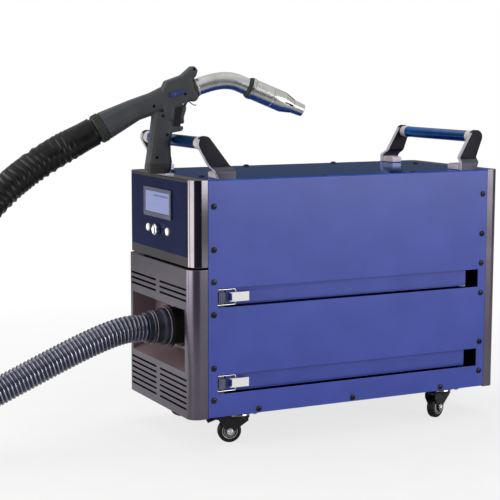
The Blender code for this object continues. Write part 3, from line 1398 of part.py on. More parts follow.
def build_sleeve(root):
    route = sleeve_route()
    length = sum((b - a).length for a, b in zip(route, route[1:]))
    centres = spaced(route, length / SLEEVE_POINTS)
    radii = [SLEEVE_RADIUS] * len(centres)
    radii[-1] = SLEEVE_START_RADIUS
    print("sleeve length", round(length, 3))
    return tube("leather_sleeve", centres, radii, 12, root)


# Torch, in its own frame

def build_torch_body(torch):
    back = Vector((-math.cos(REAR_PITCH), 0, -math.sin(REAR_PITCH)))
    places = (
        (REAR_JOINT_U, REAR_JOINT_W, REAR_RADIUS), (BARREL_WAIST_U, BARREL_WAIST_W, BARREL_WAIST_RADIUS),
        (BARREL_MID_U, BARREL_MID_W, BARREL_MID_RADIUS), (BARREL_END_U, BARREL_END_W, BARREL_END_RADIUS),
    )
    over = Vector((-math.sin(REAR_PITCH), 0, math.cos(REAR_PITCH)))
    rings = []
    for u, w, radius in places:
        half_v = radius if radius == REAR_RADIUS else TORCH_HALF - RUN_CLEARANCE
        rings.append(rounded_ring(Vector((u, 0, w)), AXIS_Y, over, half_v, radius, BARREL_CORNER_SHARE, 3))
    barrel = rings_object("torch_body", rings, torch)
    head = [(HEAD_START_U + a * HEAD_LENGTH, HEAD_START_W + b * HEAD_HEIGHT) for a, b in HEAD_OUTLINE_SHARES]
    shell = prism("torch_head", head, -TORCH_HALF, TORCH_HALF, "y", torch)
    round_edges(shell, TORCH_HALF * HEAD_ROUND_SHARE, 2, HEAD_ROUND_ANGLE)
    grips = (
        (GRIP_BUTT_U, GRIP_BUTT_W, GRIP_BUTT_HALF), (GRIP_FOOT_U, GRIP_FOOT_W, GRIP_FOOT_HALF),
        (GRIP_MID_U, GRIP_MID_W, GRIP_MID_HALF), (GRIP_TOP_U, GRIP_TOP_W, GRIP_TOP_HALF),
    )
    grip_rings = []
    for u, w, half in grips:
        half_v = GRIP_HALF * (half / GRIP_MID_HALF) ** GRIP_SWELL_SHARE
        grip_rings.append(rounded_ring(Vector((u, 0, w)), AXIS_X, AXIS_Y, half, half_v, GRIP_CORNER_SHARE, 3))
    grip = rings_object("torch_grip", grip_rings, torch)
    guard_outline = (
        (GUARD_ROOT_U, GUARD_ROOT_W), (GUARD_TIP_U - OVERLAP, GUARD_TIP_W - OVERLAP),
        (GUARD_TIP_U, GUARD_TIP_W), (GUARD_TIP_U, GUARD_TOP_W), (GUARD_ROOT_U, GUARD_TOP_W),
    )
    guard = prism("torch_guard", guard_outline, -GUARD_HALF, GUARD_HALF, "y", torch)
    fuse(barrel, shell, grip, guard)
    slot = block("trigger_slot", (TRIGGER_SLOT_BACK_U, TRIGGER_SLOT_FRONT_U),
                 (-TRIGGER_SLOT_HALF, TRIGGER_SLOT_HALF), (GUARD_TOP_W + GAP, TRIGGER_SLOT_TOP_W), torch)
    neck_start, rise = neck_seat()
    mouth = rod("neck_socket", neck_start - rise * GAP, neck_start + rise * NECK_SOCKET,
                NECK_RADIUS + RUN_CLEARANCE, torch, ROUND_STEPS)
    socket = rod("flow_socket", (FLOW_PIVOT_U, -TORCH_HALF - OVERLAP, FLOW_PIVOT_W),
                 (FLOW_PIVOT_U, -TORCH_HALF + 2 * FLOW_STUB, FLOW_PIVOT_W),
                 FLOW_STUB_RADIUS + RUN_CLEARANCE, torch)
    cut(barrel, slot, mouth, socket)
    reach = TRIGGER_SLOT_HALF + TRIGGER_PIN
    pin = rod("trigger_pin", (TRIGGER_PIVOT_U, -reach, TRIGGER_PIVOT_W),
              (TRIGGER_PIVOT_U, reach, TRIGGER_PIVOT_W), TRIGGER_PIN, torch, PIN_STEPS)
    return fuse(barrel, pin)


def build_trigger(torch):
    outline = (
        (TRIGGER_BACK_U, TRIGGER_BOTTOM_W), (TRIGGER_FRONT_U, TRIGGER_BOTTOM_W),
        (TRIGGER_FRONT_U, TRIGGER_BELLY_W), (TRIGGER_NOSE_U, TRIGGER_NOSE_W),
        (TRIGGER_HEAD_U, TRIGGER_HEAD_W),
        (TRIGGER_HEAD_BACK_U, TRIGGER_HEAD_W), (TRIGGER_BACK_U, TRIGGER_NOSE_W),
    )
    trigger = prism("torch_trigger", outline, -TRIGGER_HALF, TRIGGER_HALF, "y", torch)
    reach = TRIGGER_SLOT_HALF + TRIGGER_PIN
    bore = rod("trigger_bore", (TRIGGER_PIVOT_U, -reach, TRIGGER_PIVOT_W),
               (TRIGGER_PIVOT_U, reach, TRIGGER_PIVOT_W), TRIGGER_PIN + RUN_CLEARANCE, torch, PIN_STEPS)
    cut(trigger, bore)
    return pivot(trigger, (TRIGGER_PIVOT_U, 0, TRIGGER_PIVOT_W))


def build_flow_lever(torch):
    """A small lever that turns flat against the near side of the torch."""
    outer = -TORCH_HALF - GAP - FLOW_THICK
    inner = -TORCH_HALF - GAP
    hub = Vector((FLOW_PIVOT_U, 0, FLOW_PIVOT_W))
    tip = hub + Vector((FLOW_LEVER_LENGTH, 0, FLOW_LEVER_RISE))
    lean = math.atan2(FLOW_LEVER_RISE, FLOW_LEVER_LENGTH)
    outline = []
    for i in range(9):
        turn = lean + math.pi / 2 + math.pi * i / 8
        outline.append((hub.x + FLOW_HUB_RADIUS * math.cos(turn), hub.z + FLOW_HUB_RADIUS * math.sin(turn)))
    for i in range(5):
        turn = lean - math.pi / 2 + math.pi * i / 4
        outline.append((tip.x + FLOW_TIP_RADIUS * math.cos(turn), tip.z + FLOW_TIP_RADIUS * math.sin(turn)))
    lever = prism("torch_flow_lever", outline, outer, inner, "y", torch)
    fuse(lever, rod("flow_stub", (hub.x, outer + FLOW_THICK / 2, hub.z), (hub.x, inner + FLOW_STUB, hub.z),
                    FLOW_STUB_RADIUS, torch, PIN_STEPS))
    return pivot(lever, (FLOW_PIVOT_U, inner, FLOW_PIVOT_W))


def build_nut(torch):
    back = Vector((-math.cos(REAR_PITCH), 0, -math.sin(REAR_PITCH)))
    start = Vector((REAR_JOINT_U, 0, REAR_JOINT_W)) + back * GAP
    chamfer = NUT_CHAMFER
    profile = (
        (0, 0), (0, NUT_RADIUS - chamfer), (chamfer, NUT_RADIUS), (NUT_LENGTH - chamfer, NUT_RADIUS),
        (NUT_LENGTH, NUT_RADIUS - chamfer), (NUT_LENGTH, 0),
    )
    return lathe("torch_lock_nut", profile, start, back, torch, ROUND_STEPS)


def shroud_axis():
    return Vector((math.cos(SHROUD_PITCH), 0, -math.sin(SHROUD_PITCH)))


def neck_seat():
    """The foot of the neck, inside the torch's mouth, and the way it leaves."""
    return Vector((NECK_START_U, 0, NECK_START_W)), Vector((math.cos(NECK_RISE), 0, math.sin(NECK_RISE)))


def build_neck(torch):
    start, rise = neck_seat()
    axis = shroud_axis()
    end = Vector((SHROUD_START_U, 0, SHROUD_START_W)) - axis * (RING_LENGTH + 2 * GAP)
    reach = (end - start).length / 4
    leave = start + rise * NECK_RADIUS
    arrive = end - axis * NECK_RADIUS
    bend = fine_bezier((leave, leave + rise * reach, arrive - axis * reach, arrive))
    centres = spaced([start, *bend, end], (end - start).length / NECK_POINTS)
    return tube("torch_neck", centres, [NECK_RADIUS] * len(centres), MIDDLE_STEPS, torch)


def build_ring(torch):
    axis = shroud_axis()
    start = Vector((SHROUD_START_U, 0, SHROUD_START_W)) - axis * (RING_LENGTH + GAP)
    profile = (
        (0, 0), (0, RING_BACK_RADIUS), (RING_LENGTH / 2, RING_RADIUS), (RING_LENGTH, RING_RADIUS),
        (RING_LENGTH, 0),
    )
    return lathe("torch_swivel_ring", profile, start, axis, torch, ROUND_STEPS)


def build_shroud(torch):
    start = Vector((SHROUD_START_U, 0, SHROUD_START_W))
    seam = SHROUD_SEAM - GAP
    profile = ((0, SHROUD_BORE), (0, SHROUD_RADIUS), (seam, SHROUD_RADIUS), (seam, SHROUD_BORE))
    return lathe("torch_shroud", profile, start, shroud_axis(), torch, ROUND_STEPS, True)


def build_nozzle(torch):
    """The slotted cone and its mouth, open at both ends."""
    start = Vector((SHROUD_START_U, 0, SHROUD_START_W))
    axis = shroud_axis()
    profile = (
        (SHROUD_SEAM, SHROUD_BORE), (SHROUD_SEAM, SHROUD_RADIUS), (NOZZLE_SHOULDER, SHROUD_RADIUS),
        (NOZZLE_NECK, NOZZLE_NECK_RADIUS), (NOZZLE_END, NOZZLE_TIP_RADIUS), (NOZZLE_END, NOZZLE_BORE),
        (NOZZLE_NECK, NOZZLE_BORE), (NOZZLE_SHOULDER, SHROUD_BORE),
    )
    nozzle = lathe("torch_nozzle", profile, start, axis, torch, ROUND_STEPS, True)
    side = axis.cross(AXIS_Y)
    points = []
    faces = []
    for i in range(NOZZLE_SLOT_COUNT):
        turn = 2 * math.pi * (i + 0.5) / NOZZLE_SLOT_COUNT
        out = math.cos(turn) * side + math.sin(turn) * AXIS_Y
        wide = axis.cross(out) * NOZZLE_SLOT_HALF
        for distance in (NOZZLE_SHOULDER - OVERLAP, NOZZLE_NECK - OVERLAP):
            for radius in (NOZZLE_BORE, SHROUD_RADIUS + OVERLAP):
                for sign in (-1, 1):
                    points.append(start + axis * distance + out * radius + wide * sign)
        faces.extend([[8 * i + k for k in side_points] for side_points in (
            (0, 1, 3, 2), (4, 6, 7, 5), (0, 4, 5, 1), (2, 3, 7, 6), (0, 2, 6, 4), (1, 5, 7, 3))])
    return cut(nozzle, mesh_object("nozzle_slots", points, faces, torch))


# Rear fittings

def build_power_inlet(root):
    """A shrouded three-pin inlet with its flange on the rear cover."""
    face = REAR_FACE_X + GAP
    body = block("power_inlet", (face, face + INLET_FLANGE / 2),
                 (INLET_SOCKET_Y - INLET_SOCKET_HALF_Y, INLET_SOCKET_Y + INLET_SOCKET_HALF_Y),
                 (POWER_Z - INLET_SOCKET_HALF_Z, POWER_Z + INLET_SOCKET_HALF_Z), root)
    inner_y = INLET_SOCKET_HALF_Y - INLET_FLANGE
    inner_z = INLET_SOCKET_HALF_Z - INLET_FLANGE
    core = block("inlet_core", (face - INLET_BODY, face + INLET_FLANGE / 4),
                 (INLET_SOCKET_Y - inner_y, INLET_SOCKET_Y + inner_y),
                 (POWER_Z - inner_z, POWER_Z + inner_z), root)
    fuse(body, core)
    front = face + INLET_FLANGE
    hollow = block("inlet_hollow", (face - INLET_HOLLOW_DEPTH, front),
                   (INLET_SOCKET_Y - INLET_HOLLOW_HALF_Y, INLET_SOCKET_Y + INLET_HOLLOW_HALF_Y),
                   (POWER_Z - INLET_HOLLOW_HALF_Z, POWER_Z + INLET_HOLLOW_HALF_Z), root)
    cut(body, hollow)
    pins = []
    for i, rise in ((-1, 0), (0, 1), (1, 0)):
        y = INLET_SOCKET_Y + i * PIN_PITCH
        z = POWER_Z + (2 * rise - 1) * PIN_HALF * PIN_STAGGER_SHARE
        back = face - INLET_HOLLOW_DEPTH - OVERLAP / 2
        pins.append(block("inlet_pin", (back, back + PIN_REACH), (y - PIN_HALF, y + PIN_HALF),
                          (z - PIN_HALF * PIN_TALL_SHARE, z + PIN_HALF * PIN_TALL_SHARE), root))
    return fuse(body, *pins)


def build_rocker(root):
    """A rocker that pivots on a pin between two cheeks behind the rear cover's wall."""
    wall = REAR_FACE_X - COVER_WALL
    pin_x = wall - SWITCH_PIVOT_DEPTH
    back = pin_x - SWITCH_DEPTH / 3
    front = REAR_FACE_X
    half_z = SWITCH_HALF_Z - RUN_CLEARANCE
    outline = (
        (back, POWER_Z - half_z * SWITCH_BACK_SHARE), (back, POWER_Z + half_z * SWITCH_BACK_SHARE),
        (front - SWITCH_PIN, POWER_Z + half_z), (front + SWITCH_CREST * SWITCH_OFF_SHARE, POWER_Z + half_z),
        (front + SWITCH_CREST * SWITCH_MIDDLE_SHARE, POWER_Z),
        (front + SWITCH_CREST, POWER_Z - half_z * SWITCH_ON_SHARE), (front - SWITCH_PIN, POWER_Z - half_z),
    )
    rocker = prism("rocker_switch", outline, SWITCH_Y - SWITCH_HALF_Y, SWITCH_Y + SWITCH_HALF_Y, "y", root)
    reach = SWITCH_HALF_Y + RUN_CLEARANCE + COVER_WALL / 2
    fuse(rocker, rod("rocker_pin", (pin_x, SWITCH_Y - reach, POWER_Z), (pin_x, SWITCH_Y + reach, POWER_Z),
                     SWITCH_PIN, root, SMALL_STEPS))
    return pivot(rocker, (pin_x, SWITCH_Y, POWER_Z))


def make_looks():
    return {
        "blue_paint": material("blue powder paint", (0.045, 0.070, 0.300), 0.32, 0.0),
        "zinc": material("zinc plate", (0.55, 0.55, 0.56), 0.35, 1.0),
        "cover": material("graphite cover", (0.060, 0.050, 0.058), 0.40, 0.0),
        "fascia": material("navy fascia", (0.018, 0.022, 0.065), 0.30, 0.0),
        "black_plastic": material("black plastic", (0.018, 0.018, 0.020), 0.45, 0.0),
        "black_metal": material("black fork", (0.022, 0.022, 0.024), 0.35, 0.4),
        "display": material("display glass", (0.30, 0.38, 0.30), 0.12, 0.0),
        "white_plastic": material("white button", (0.80, 0.80, 0.78), 0.35, 0.0),
        "chrome": material("chrome", (0.80, 0.80, 0.80), 0.12, 1.0),
        "blue_tube": material("blue handle tube", (0.030, 0.180, 0.600), 0.22, 0.5),
        "tyre": material("black tyre", (0.025, 0.025, 0.026), 0.60, 0.0),
        "filter": material("filter paper", (0.78, 0.76, 0.68), 0.90, 0.0),
        "steel": material("steel", (0.50, 0.50, 0.50), 0.30, 1.0),
        "cuff": material("cuff rubber", (0.018, 0.022, 0.050), 0.45, 0.0),
        "hose": material("ribbed hose", (0.060, 0.060, 0.072), 0.35, 0.0),
        "leather": material("black leather", (0.020, 0.019, 0.019), 0.55, 0.0),
        "torch": material("torch shell", (0.075, 0.082, 0.088), 0.50, 0.0),
        "flow_blue": material("blue lever", (0.030, 0.035, 0.260), 0.45, 0.0),
        "polished": material("polished neck", (0.78, 0.77, 0.72), 0.18, 1.0),
    }


def main():
    clear_scene()
    looks = make_looks()
    root = empty("extractor", None, (-MIDDLE_X, -BODY_WIDTH / 2, 0))
    finish(build_chassis(root), looks["blue_paint"])
    finish(build_side_panel("side_panel_near", True, root), looks["blue_paint"])
    finish(build_side_panel("side_panel_far", False, root), looks["blue_paint"])
    finish(build_top_cover(root), looks["blue_paint"])
    finish(build_filter_deck(root), looks["zinc"])
    for build in (build_upper_cover, build_lower_cover, build_rear_cover):
        finish(build(root), looks["cover"], True)
    finish(build_fascia(root), looks["fascia"])
    finish(build_bezel(root), looks["black_plastic"])
    finish(build_display(root), looks["display"])
    for name, side in (("button_near", -1), ("button_far", 1)):
        finish(build_button(name, BODY_WIDTH / 2 + side * BUTTON_OFFSET, root), looks["white_plastic"], True)
    finish(build_knob(root), looks["chrome"], True)

    for place, foot_x, bar_x in (("front", FRONT_FOOT_X, BAR_FRONT_X), ("rear", REAR_FOOT_X, BAR_REAR_X)):
        for side, near in (("near", True), ("far", False)):
            arm = build_arm("handle_arm_%s_%s" % (place, side), foot_x, bar_x, near, root)
            finish(arm, looks["black_plastic"], True)
        finish(build_bar("handle_bar_" + place, bar_x, root), looks["blue_tube"], True)

    for place in CASTER_TURNS:
        x = SWIVEL_FRONT_X if place.startswith("front") else BODY_LENGTH - SWIVEL_FRONT_X
        y = SWIVEL_INSET if place.endswith("near") else BODY_WIDTH - SWIVEL_INSET
        build_caster(place, x, y, place.startswith("front"), root, looks)

    filter_tray = finish(build_tray("filter_tray", UPPER_SLOT_Z, True, root), looks["blue_paint"])
    finish(build_media(filter_tray), looks["filter"])
    dust_tray = finish(build_tray("dust_tray", LOWER_SLOT_Z, False, root), looks["blue_paint"])
    for place, slot_z, tray in (("upper", UPPER_SLOT_Z, filter_tray), ("lower", LOWER_SLOT_Z, dust_tray)):
        lever = finish(build_latch_lever("latch_lever_" + place, slot_z, tray), looks["chrome"])
        finish(build_bail("latch_bail_" + place, slot_z, lever), looks["chrome"], True)
        finish(build_catch("latch_catch_" + place, slot_z, root), looks["black_plastic"])

    finish(build_blower(root), looks["steel"], True)
    finish(build_impeller(root), looks["steel"], True)
    finish(build_collar(root), looks["black_plastic"], True)
    finish(build_cuff(root), looks["cuff"], True)
    finish(build_hose(root), looks["hose"], True)
    finish(build_joint(root), looks["black_plastic"], True)
    finish(build_sleeve(root), looks["leather"], True)
    finish(build_power_inlet(root), looks["black_plastic"])
    finish(build_rocker(root), looks["black_plastic"])

    torch = empty("torch", root, (BAR_FRONT_X, TORCH_Y, BAR_Z), TORCH_TURN)
    finish(build_torch_body(torch), looks["torch"], True)
    finish(build_trigger(torch), looks["torch"])
    finish(build_flow_lever(torch), looks["flow_blue"])
    finish(build_nut(torch), looks["black_plastic"], True)
    finish(build_neck(torch), looks["polished"], True)
    finish(build_ring(torch), looks["black_plastic"], True)
    finish(build_shroud(torch), looks["polished"], True)
    finish(build_nozzle(torch), looks["polished"], True)


main()
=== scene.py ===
# %% [markdown]
# # A mobile fume extractor, dressed
#
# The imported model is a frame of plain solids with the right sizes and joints.
# This lesson loads that frame and dresses it: each cell makes one piece or one
# finish of the real machine and says why it is made that way. Everything is in
# metres, in the frame's own place, so nothing has to be fitted by hand.

# %% Load the frame
import json
import math

import bmesh
import bpy
from mathutils import Matrix, Vector, noise


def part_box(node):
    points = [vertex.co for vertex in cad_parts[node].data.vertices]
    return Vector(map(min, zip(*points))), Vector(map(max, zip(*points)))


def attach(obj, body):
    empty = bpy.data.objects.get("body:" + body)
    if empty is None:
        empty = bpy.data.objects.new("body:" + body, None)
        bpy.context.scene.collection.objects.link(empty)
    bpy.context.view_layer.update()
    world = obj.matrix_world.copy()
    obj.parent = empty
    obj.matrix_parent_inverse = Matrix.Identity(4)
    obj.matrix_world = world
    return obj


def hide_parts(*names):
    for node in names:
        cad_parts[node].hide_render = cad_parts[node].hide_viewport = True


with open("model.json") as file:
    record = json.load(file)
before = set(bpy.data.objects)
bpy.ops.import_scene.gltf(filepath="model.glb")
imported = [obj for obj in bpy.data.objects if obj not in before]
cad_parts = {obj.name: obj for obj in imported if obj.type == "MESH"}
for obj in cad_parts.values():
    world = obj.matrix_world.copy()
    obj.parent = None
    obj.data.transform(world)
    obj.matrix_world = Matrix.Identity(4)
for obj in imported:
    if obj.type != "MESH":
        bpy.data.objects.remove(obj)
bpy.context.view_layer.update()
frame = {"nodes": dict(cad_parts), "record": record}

# %% [markdown]
# ## Where things are
#
# Sizes on a machine are easiest to read from one corner. The near side panel
# gives that corner, so `spot` takes a place measured in metres rearwards, away
# from the panel and up from the floor. The sizes of the body come from the boxes
# of its panels, and later cells work from them.

# %% Places on the body
panel_low, panel_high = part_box("side_panel_near")
corner = Vector((panel_low.x, panel_low.y, 0.0))
LENGTH = panel_high.x - panel_low.x
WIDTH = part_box("side_panel_far")[1].y - panel_low.y
BODY_BASE = panel_low.z
BODY_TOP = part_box("top_cover")[1].z
MID = WIDTH / 2


def spot(x, y, z):
    return corner + Vector((x, y, z))


print("body", round(LENGTH, 3), "x", round(WIDTH, 3), "x", round(BODY_TOP - BODY_BASE, 3))

# %% [markdown]
# The torch hangs on the front handle and is turned a little on it. It gets a
# frame of its own: forward along the nozzle, sideways, and up. One matrix turns
# places in that frame into places in the scene, and its inverse turns them back.

# %% Places on the torch
TORCH_FROM_PANEL = 0.152
TORCH_TURN = math.radians(-12.0)
bar_low, bar_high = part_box("handle_bar_front")
bar_middle = (bar_low + bar_high) / 2
torch_middle = Vector((bar_middle.x, corner.y + TORCH_FROM_PANEL, bar_middle.z))
torch_frame = Matrix.Translation(torch_middle) @ Matrix.Rotation(TORCH_TURN, 4, "Z")
to_torch = torch_frame.inverted()


def on_torch(u, v, w):
    return torch_frame @ Vector((u, v, w))


def torch_way(u, v, w):
    return (torch_frame.to_3x3() @ Vector((u, v, w))).normalized()


print("torch hangs at", [round(v, 3) for v in torch_middle])

# %% [markdown]
# ## The camera
#
# A camera is placed by its angle first and its lens second. The picture looks
# down a little on the near side and the front, from about three metres off with
# a long lens, so that the box hardly narrows. The numbers come from lining up
# the corners of the box with the picture.

# %% Camera
SENSOR_MM = 36.0
PICTURE_PIXELS = 500.0
FOCAL_PIXELS = 1419.48
CAMERA_PLACE = (-1.4731, -2.7449, 0.7889)
PAN, DIP, ROLL = -26.7616, 7.4612, 0.1432

lens = bpy.data.cameras.new("camera")
lens.lens = SENSOR_MM * FOCAL_PIXELS / PICTURE_PIXELS
lens.clip_end = 60.0
camera = bpy.data.objects.new("camera", lens)
bpy.context.collection.objects.link(camera)
camera.matrix_world = (
    Matrix.Translation(CAMERA_PLACE)
    @ Matrix.Rotation(math.radians(PAN), 4, "Z")
    @ Matrix.Rotation(math.radians(90.0 - DIP), 4, "X")
    @ Matrix.Rotation(math.radians(ROLL), 4, "Z")
)
bpy.context.scene.camera = camera
print("lens", round(lens.lens, 1), "mm")

# %% [markdown]
# ## Tools for shapes
#
# Most pieces here are one of five shapes: a skin over a row of rings, a turned
# profile, a flat outline with thickness, a rounded box, or a tube along a path.
# Writing these once as mesh helpers keeps every later cell short. Each helper
# makes real geometry, because a shape that only exists as bump is lost when the
# model is exported.
#
# The first one turns points and faces into a piece that rides on a body of the
# frame. Edges sharper than an angle stay sharp, and the rest is shaded smooth.

# %% A piece from points and faces
def piece(name, points, faces, body, look, smooth=True, angle=35.0):
    mesh = bpy.data.meshes.new(name)
    mesh.from_pydata([tuple(p) for p in points], [], faces)
    work = bmesh.new()
    work.from_mesh(mesh)
    bmesh.ops.recalc_face_normals(work, faces=work.faces)
    work.to_mesh(mesh)
    work.free()
    if smooth:
        mesh.shade_smooth()
        mesh.set_sharp_from_angle(angle=math.radians(angle))
    made = bpy.data.objects.new(name, mesh)
    bpy.context.collection.objects.link(made)
    if look is not None:
        mesh.materials.append(look)
    if body is not None:
        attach(made, body)
    return made


print("pieces ready")

# %% [markdown]
# A skin joins a row of rings. Neighbours are tied by quads, or by triangles where
# one ring is a single point, and the ends are closed by a face each. A ring can
# have any outline, so this one helper makes most shapes of the machine.

# %% A skin over rings
def ring_faces(rings, closed=False):
    points, starts = [], []
    for ring in rings:
        starts.append((len(points), len(ring)))
        points.extend(ring)
    faces = []
    pairs = list(zip(starts, starts[1:]))
    if closed:
        pairs.append((starts[-1], starts[0]))
    for (a, n), (b, m) in pairs:
        for i in range(max(n, m)):
            j = (i + 1) % max(n, m)
            faces.append(list(dict.fromkeys((a + i % n, a + j % n, b + j % m, b + i % m))))
    if not closed:
        faces += [[s + i for i in range(n)] for s, n in (starts[0], starts[-1]) if n > 2]
    return points, faces


def skin(name, rings, body, look, closed=False, **more):
    points, faces = ring_faces(rings, closed)
    return piece(name, points, faces, body, look, **more)


print("faces between two squares:", len(ring_faces([[corner] * 4, [corner] * 4])[1]))

# %% [markdown]
# A turned shape is a profile of distances and radii that goes round a line, as on
# a lathe. Wheels, knobs, nuts and the nozzle are made this way, because a profile
# is quick to read and to change.

# %% Turned shapes
def frame_of(direction):
    along = Vector(direction).normalized()
    upright = Vector((0, 0, 1)) if abs(along.z) < 0.9 else Vector((1, 0, 0))
    side = along.cross(upright).normalized()
    return along, side, along.cross(side)


def circle(centre, radius, side, other, steps):
    turns = [2 * math.pi * i / steps for i in range(steps)]
    return [centre + radius * (math.cos(t) * side + math.sin(t) * other) for t in turns]


def turned_rings(profile, origin, direction, steps=64):
    along, side, other = frame_of(direction)
    rings = []
    for distance, radius in profile:
        centre = Vector(origin) + along * distance
        rings.append([centre] if radius <= 0 else circle(centre, radius, side, other, steps))
    return rings


def turned(name, profile, origin, direction, body, look, steps=64, closed=False):
    return skin(name, turned_rings(profile, origin, direction, steps), body, look, closed)


print("a turned ring has", len(circle(corner, 1.0, *frame_of((0, 0, 1))[1:], 64)), "points")

# %% [markdown]
# Boxes and plates are an outline pushed along one axis. A bevel modifier then
# rounds every edge that is sharper than a given angle, since no real edge is
# perfectly sharp and it is the rounded edge that catches the light.

# %% Slabs and boxes with soft edges
def bevelled(obj, width, segments=3, angle=40.0):
    step = obj.modifiers.new("soft edges", "BEVEL")
    step.width = width
    step.segments = segments
    step.limit_method = "ANGLE"
    step.angle_limit = math.radians(angle)
    step.harden_normals = True
    return obj


ALONG_AXIS = {
    "x": lambda a, b, c: spot(c, a, b),
    "z": lambda a, b, c: spot(a, b, c),
}


def slab(name, outline, low, high, axis, body, look, round_by=0.0, **more):
    place = ALONG_AXIS[axis]
    made = skin(name, [[place(a, b, c) for a, b in outline] for c in (low, high)], body, look, **more)
    return bevelled(made, round_by) if round_by else made


def box(name, x, y, z, body, look, round_by=0.0, **more):
    outline = ((x[0], y[0]), (x[1], y[0]), (x[1], y[1]), (x[0], y[1]))
    return slab(name, outline, z[0], z[1], "z", body, look, round_by, **more)


print("slabs run along", ", ".join(ALONG_AXIS))

# %% [markdown]
# A tube follows a path. Each ring stands square to the path and is turned as
# little as the path allows, so the faces don't twist. `merge` joins several plain
# shapes into one piece, which keeps small repeated parts such as screws together.

# %% Tubes and merged shapes
def swept(path, radii, steps):
    rings, side = [], None
    for i, centre in enumerate(path):
        along = (path[min(i + 1, len(path) - 1)] - path[max(i - 1, 0)]).normalized()
        side = frame_of(along)[1] if side is None else (side - along * side.dot(along)).normalized()
        rings.append(circle(centre, radii[i], side, along.cross(side), steps))
    return rings


def merge(name, parts, body, look, **more):
    """Several plain shapes as one piece; each part is (points, faces)."""
    points, faces = [], []
    for part_points, part_faces in parts:
        start = len(points)
        points.extend(part_points)
        faces.extend([[start + i for i in face] for face in part_faces])
    return piece(name, points, faces, body, look, **more)


print("points in a ring of a tube:", len(swept([corner, spot(1, 0, 0)], [1.0, 1.0], 12)[0]))

# %% [markdown]
# ## Tools for finishes
#
# A surface looks real when its roughness and its colour vary a little at the
# scale of the real process: orange peel in powder paint, fine grain in moulded
# plastic, streaks in brushed steel. Such a material is a small tree of shader
# nodes. The first helper makes one node and sets its sockets in the same line.

# %% A shader node in one line
def node(tree, kind, **values):
    """A new shader node; an underscore in a socket's name stands for a space."""
    made = tree.nodes.new("ShaderNode" + kind)
    for name, value in values.items():
        made.inputs[name.replace("_", " ")].default_value = value
    return made


print("node helper ready")

# %% [markdown]
# The second helper makes a whole finish from two noises: a broad one mixes two
# tones, and a fine one varies the roughness and raises a little bump. Values that
# are the same all over are set on the shader's own sockets, because only those
# survive an export.

# %% A finish from two noises
def finish_look(name, dark, light, rough, metallic=0.0, grain=900.0, bump=0.05, depth=0.0002,
                broad=14.0, stretch=(1.0, 1.0, 1.0), coat=0.0, coat_rough=0.1, specular=0.5,
                tint=(1.0, 1.0, 1.0)):
    look = bpy.data.materials.new(name)
    look.use_nodes = True
    tree, link = look.node_tree, look.node_tree.links.new
    shader = tree.nodes["Principled BSDF"]
    shader.inputs["Metallic"].default_value = metallic
    shader.inputs["Coat Weight"].default_value = coat
    shader.inputs["Coat Roughness"].default_value = coat_rough
    shader.inputs["Specular IOR Level"].default_value = specular
    shader.inputs["Specular Tint"].default_value = (*tint, 1.0)
    scale = node(tree, "Mapping", Scale=stretch)
    link(node(tree, "TexCoord").outputs["Object"], scale.inputs["Vector"])
    tone = node(tree, "TexNoise", Scale=broad, Detail=4.0)
    fine = node(tree, "TexNoise", Scale=grain, Detail=3.0)
    for texture in (tone, fine):
        link(scale.outputs["Vector"], texture.inputs["Vector"])
    ramp = node(tree, "ValToRGB")
    for stop, position, shade in zip(ramp.color_ramp.elements, (0.35, 0.68), (dark, light)):
        stop.position = position
        stop.color = (*shade, 1.0)
    link(tone.outputs["Fac"], ramp.inputs["Fac"])
    link(ramp.outputs["Color"], shader.inputs["Base Color"])
    span = node(tree, "MapRange", To_Min=rough[0], To_Max=rough[1])
    link(fine.outputs["Fac"], span.inputs["Value"])
    link(span.outputs["Result"], shader.inputs["Roughness"])
    relief = node(tree, "Bump", Strength=bump, Distance=depth)
    link(fine.outputs["Fac"], relief.inputs["Height"])
    link(relief.outputs["Normal"], shader.inputs["Normal"])
    return look


print("finish helper ready")

# %% [markdown]
# ## The finishes of this machine
#
# The sheet metal is blue powder paint with a thin clear gloss. On the top the paint is seen at a flat angle,
# where it mirrors the room, so the top gets a darker, metallic copy of the paint with a blue tint: a painted
# reflection that keeps the top deep blue. The end covers are a graphite satin and gloss with a warm tint, and
# the fascia is a navy film.

# %% Finishes of sheet metal and covers
paint_blue = finish_look(
    "blue powder paint", (0.037, 0.060, 0.330), (0.045, 0.072, 0.375), (0.30, 0.40),
    grain=1400, bump=0.10, coat=0.10, coat_rough=0.18, specular=0.36)
# A darker, metallic copy of the blue paint for the top: a painted reflection that keeps the top deep blue.
paint_top_reflection = finish_look(
    "blue paint on top, painted deep blue reflection", (0.007, 0.050, 0.270), (0.010, 0.065, 0.320), (0.08, 0.13),
    metallic=0.92, grain=1400, bump=0.01, specular=0.05, tint=(0.0, 0.30, 1.0))
# Dark navy for the chassis: painted shade for what is seen through the louvres and slots.
chassis_shade_navy = finish_look(
    "dark navy painted shade", (0.004, 0.005, 0.020), (0.006, 0.008, 0.028), (0.40, 0.52),
    grain=1400, bump=0.08, specular=0.2)
cover_satin = finish_look(
    "graphite satin", (0.118, 0.104, 0.134), (0.146, 0.130, 0.160), (0.20, 0.28),
    metallic=0.9, grain=1800, bump=0.04, specular=0.8)
pocket_satin = finish_look(
    "warm satin", (0.120, 0.086, 0.094), (0.150, 0.108, 0.116), (0.34, 0.44),
    metallic=0.1, grain=1800, bump=0.05, specular=0.4)
cover_gloss = finish_look(
    "graphite gloss", (0.150, 0.140, 0.152), (0.185, 0.172, 0.185), (0.08, 0.13),
    metallic=1.0, grain=1800, bump=0.02)
fascia_film = finish_look(
    "navy film", (0.005, 0.008, 0.036), (0.007, 0.011, 0.046), (0.12, 0.18),
    grain=2400, bump=0.02, specular=0.06)
print("paints, covers and film:", len(bpy.data.materials), "materials")

# %% [markdown]
# Metals are bright and clean. Chrome is almost a mirror, zinc plate is broken up
# into pale and dark spangles by a larger broad noise, and streaks come from
# stretching the noise along one axis, as the brush or the anodising bath does.

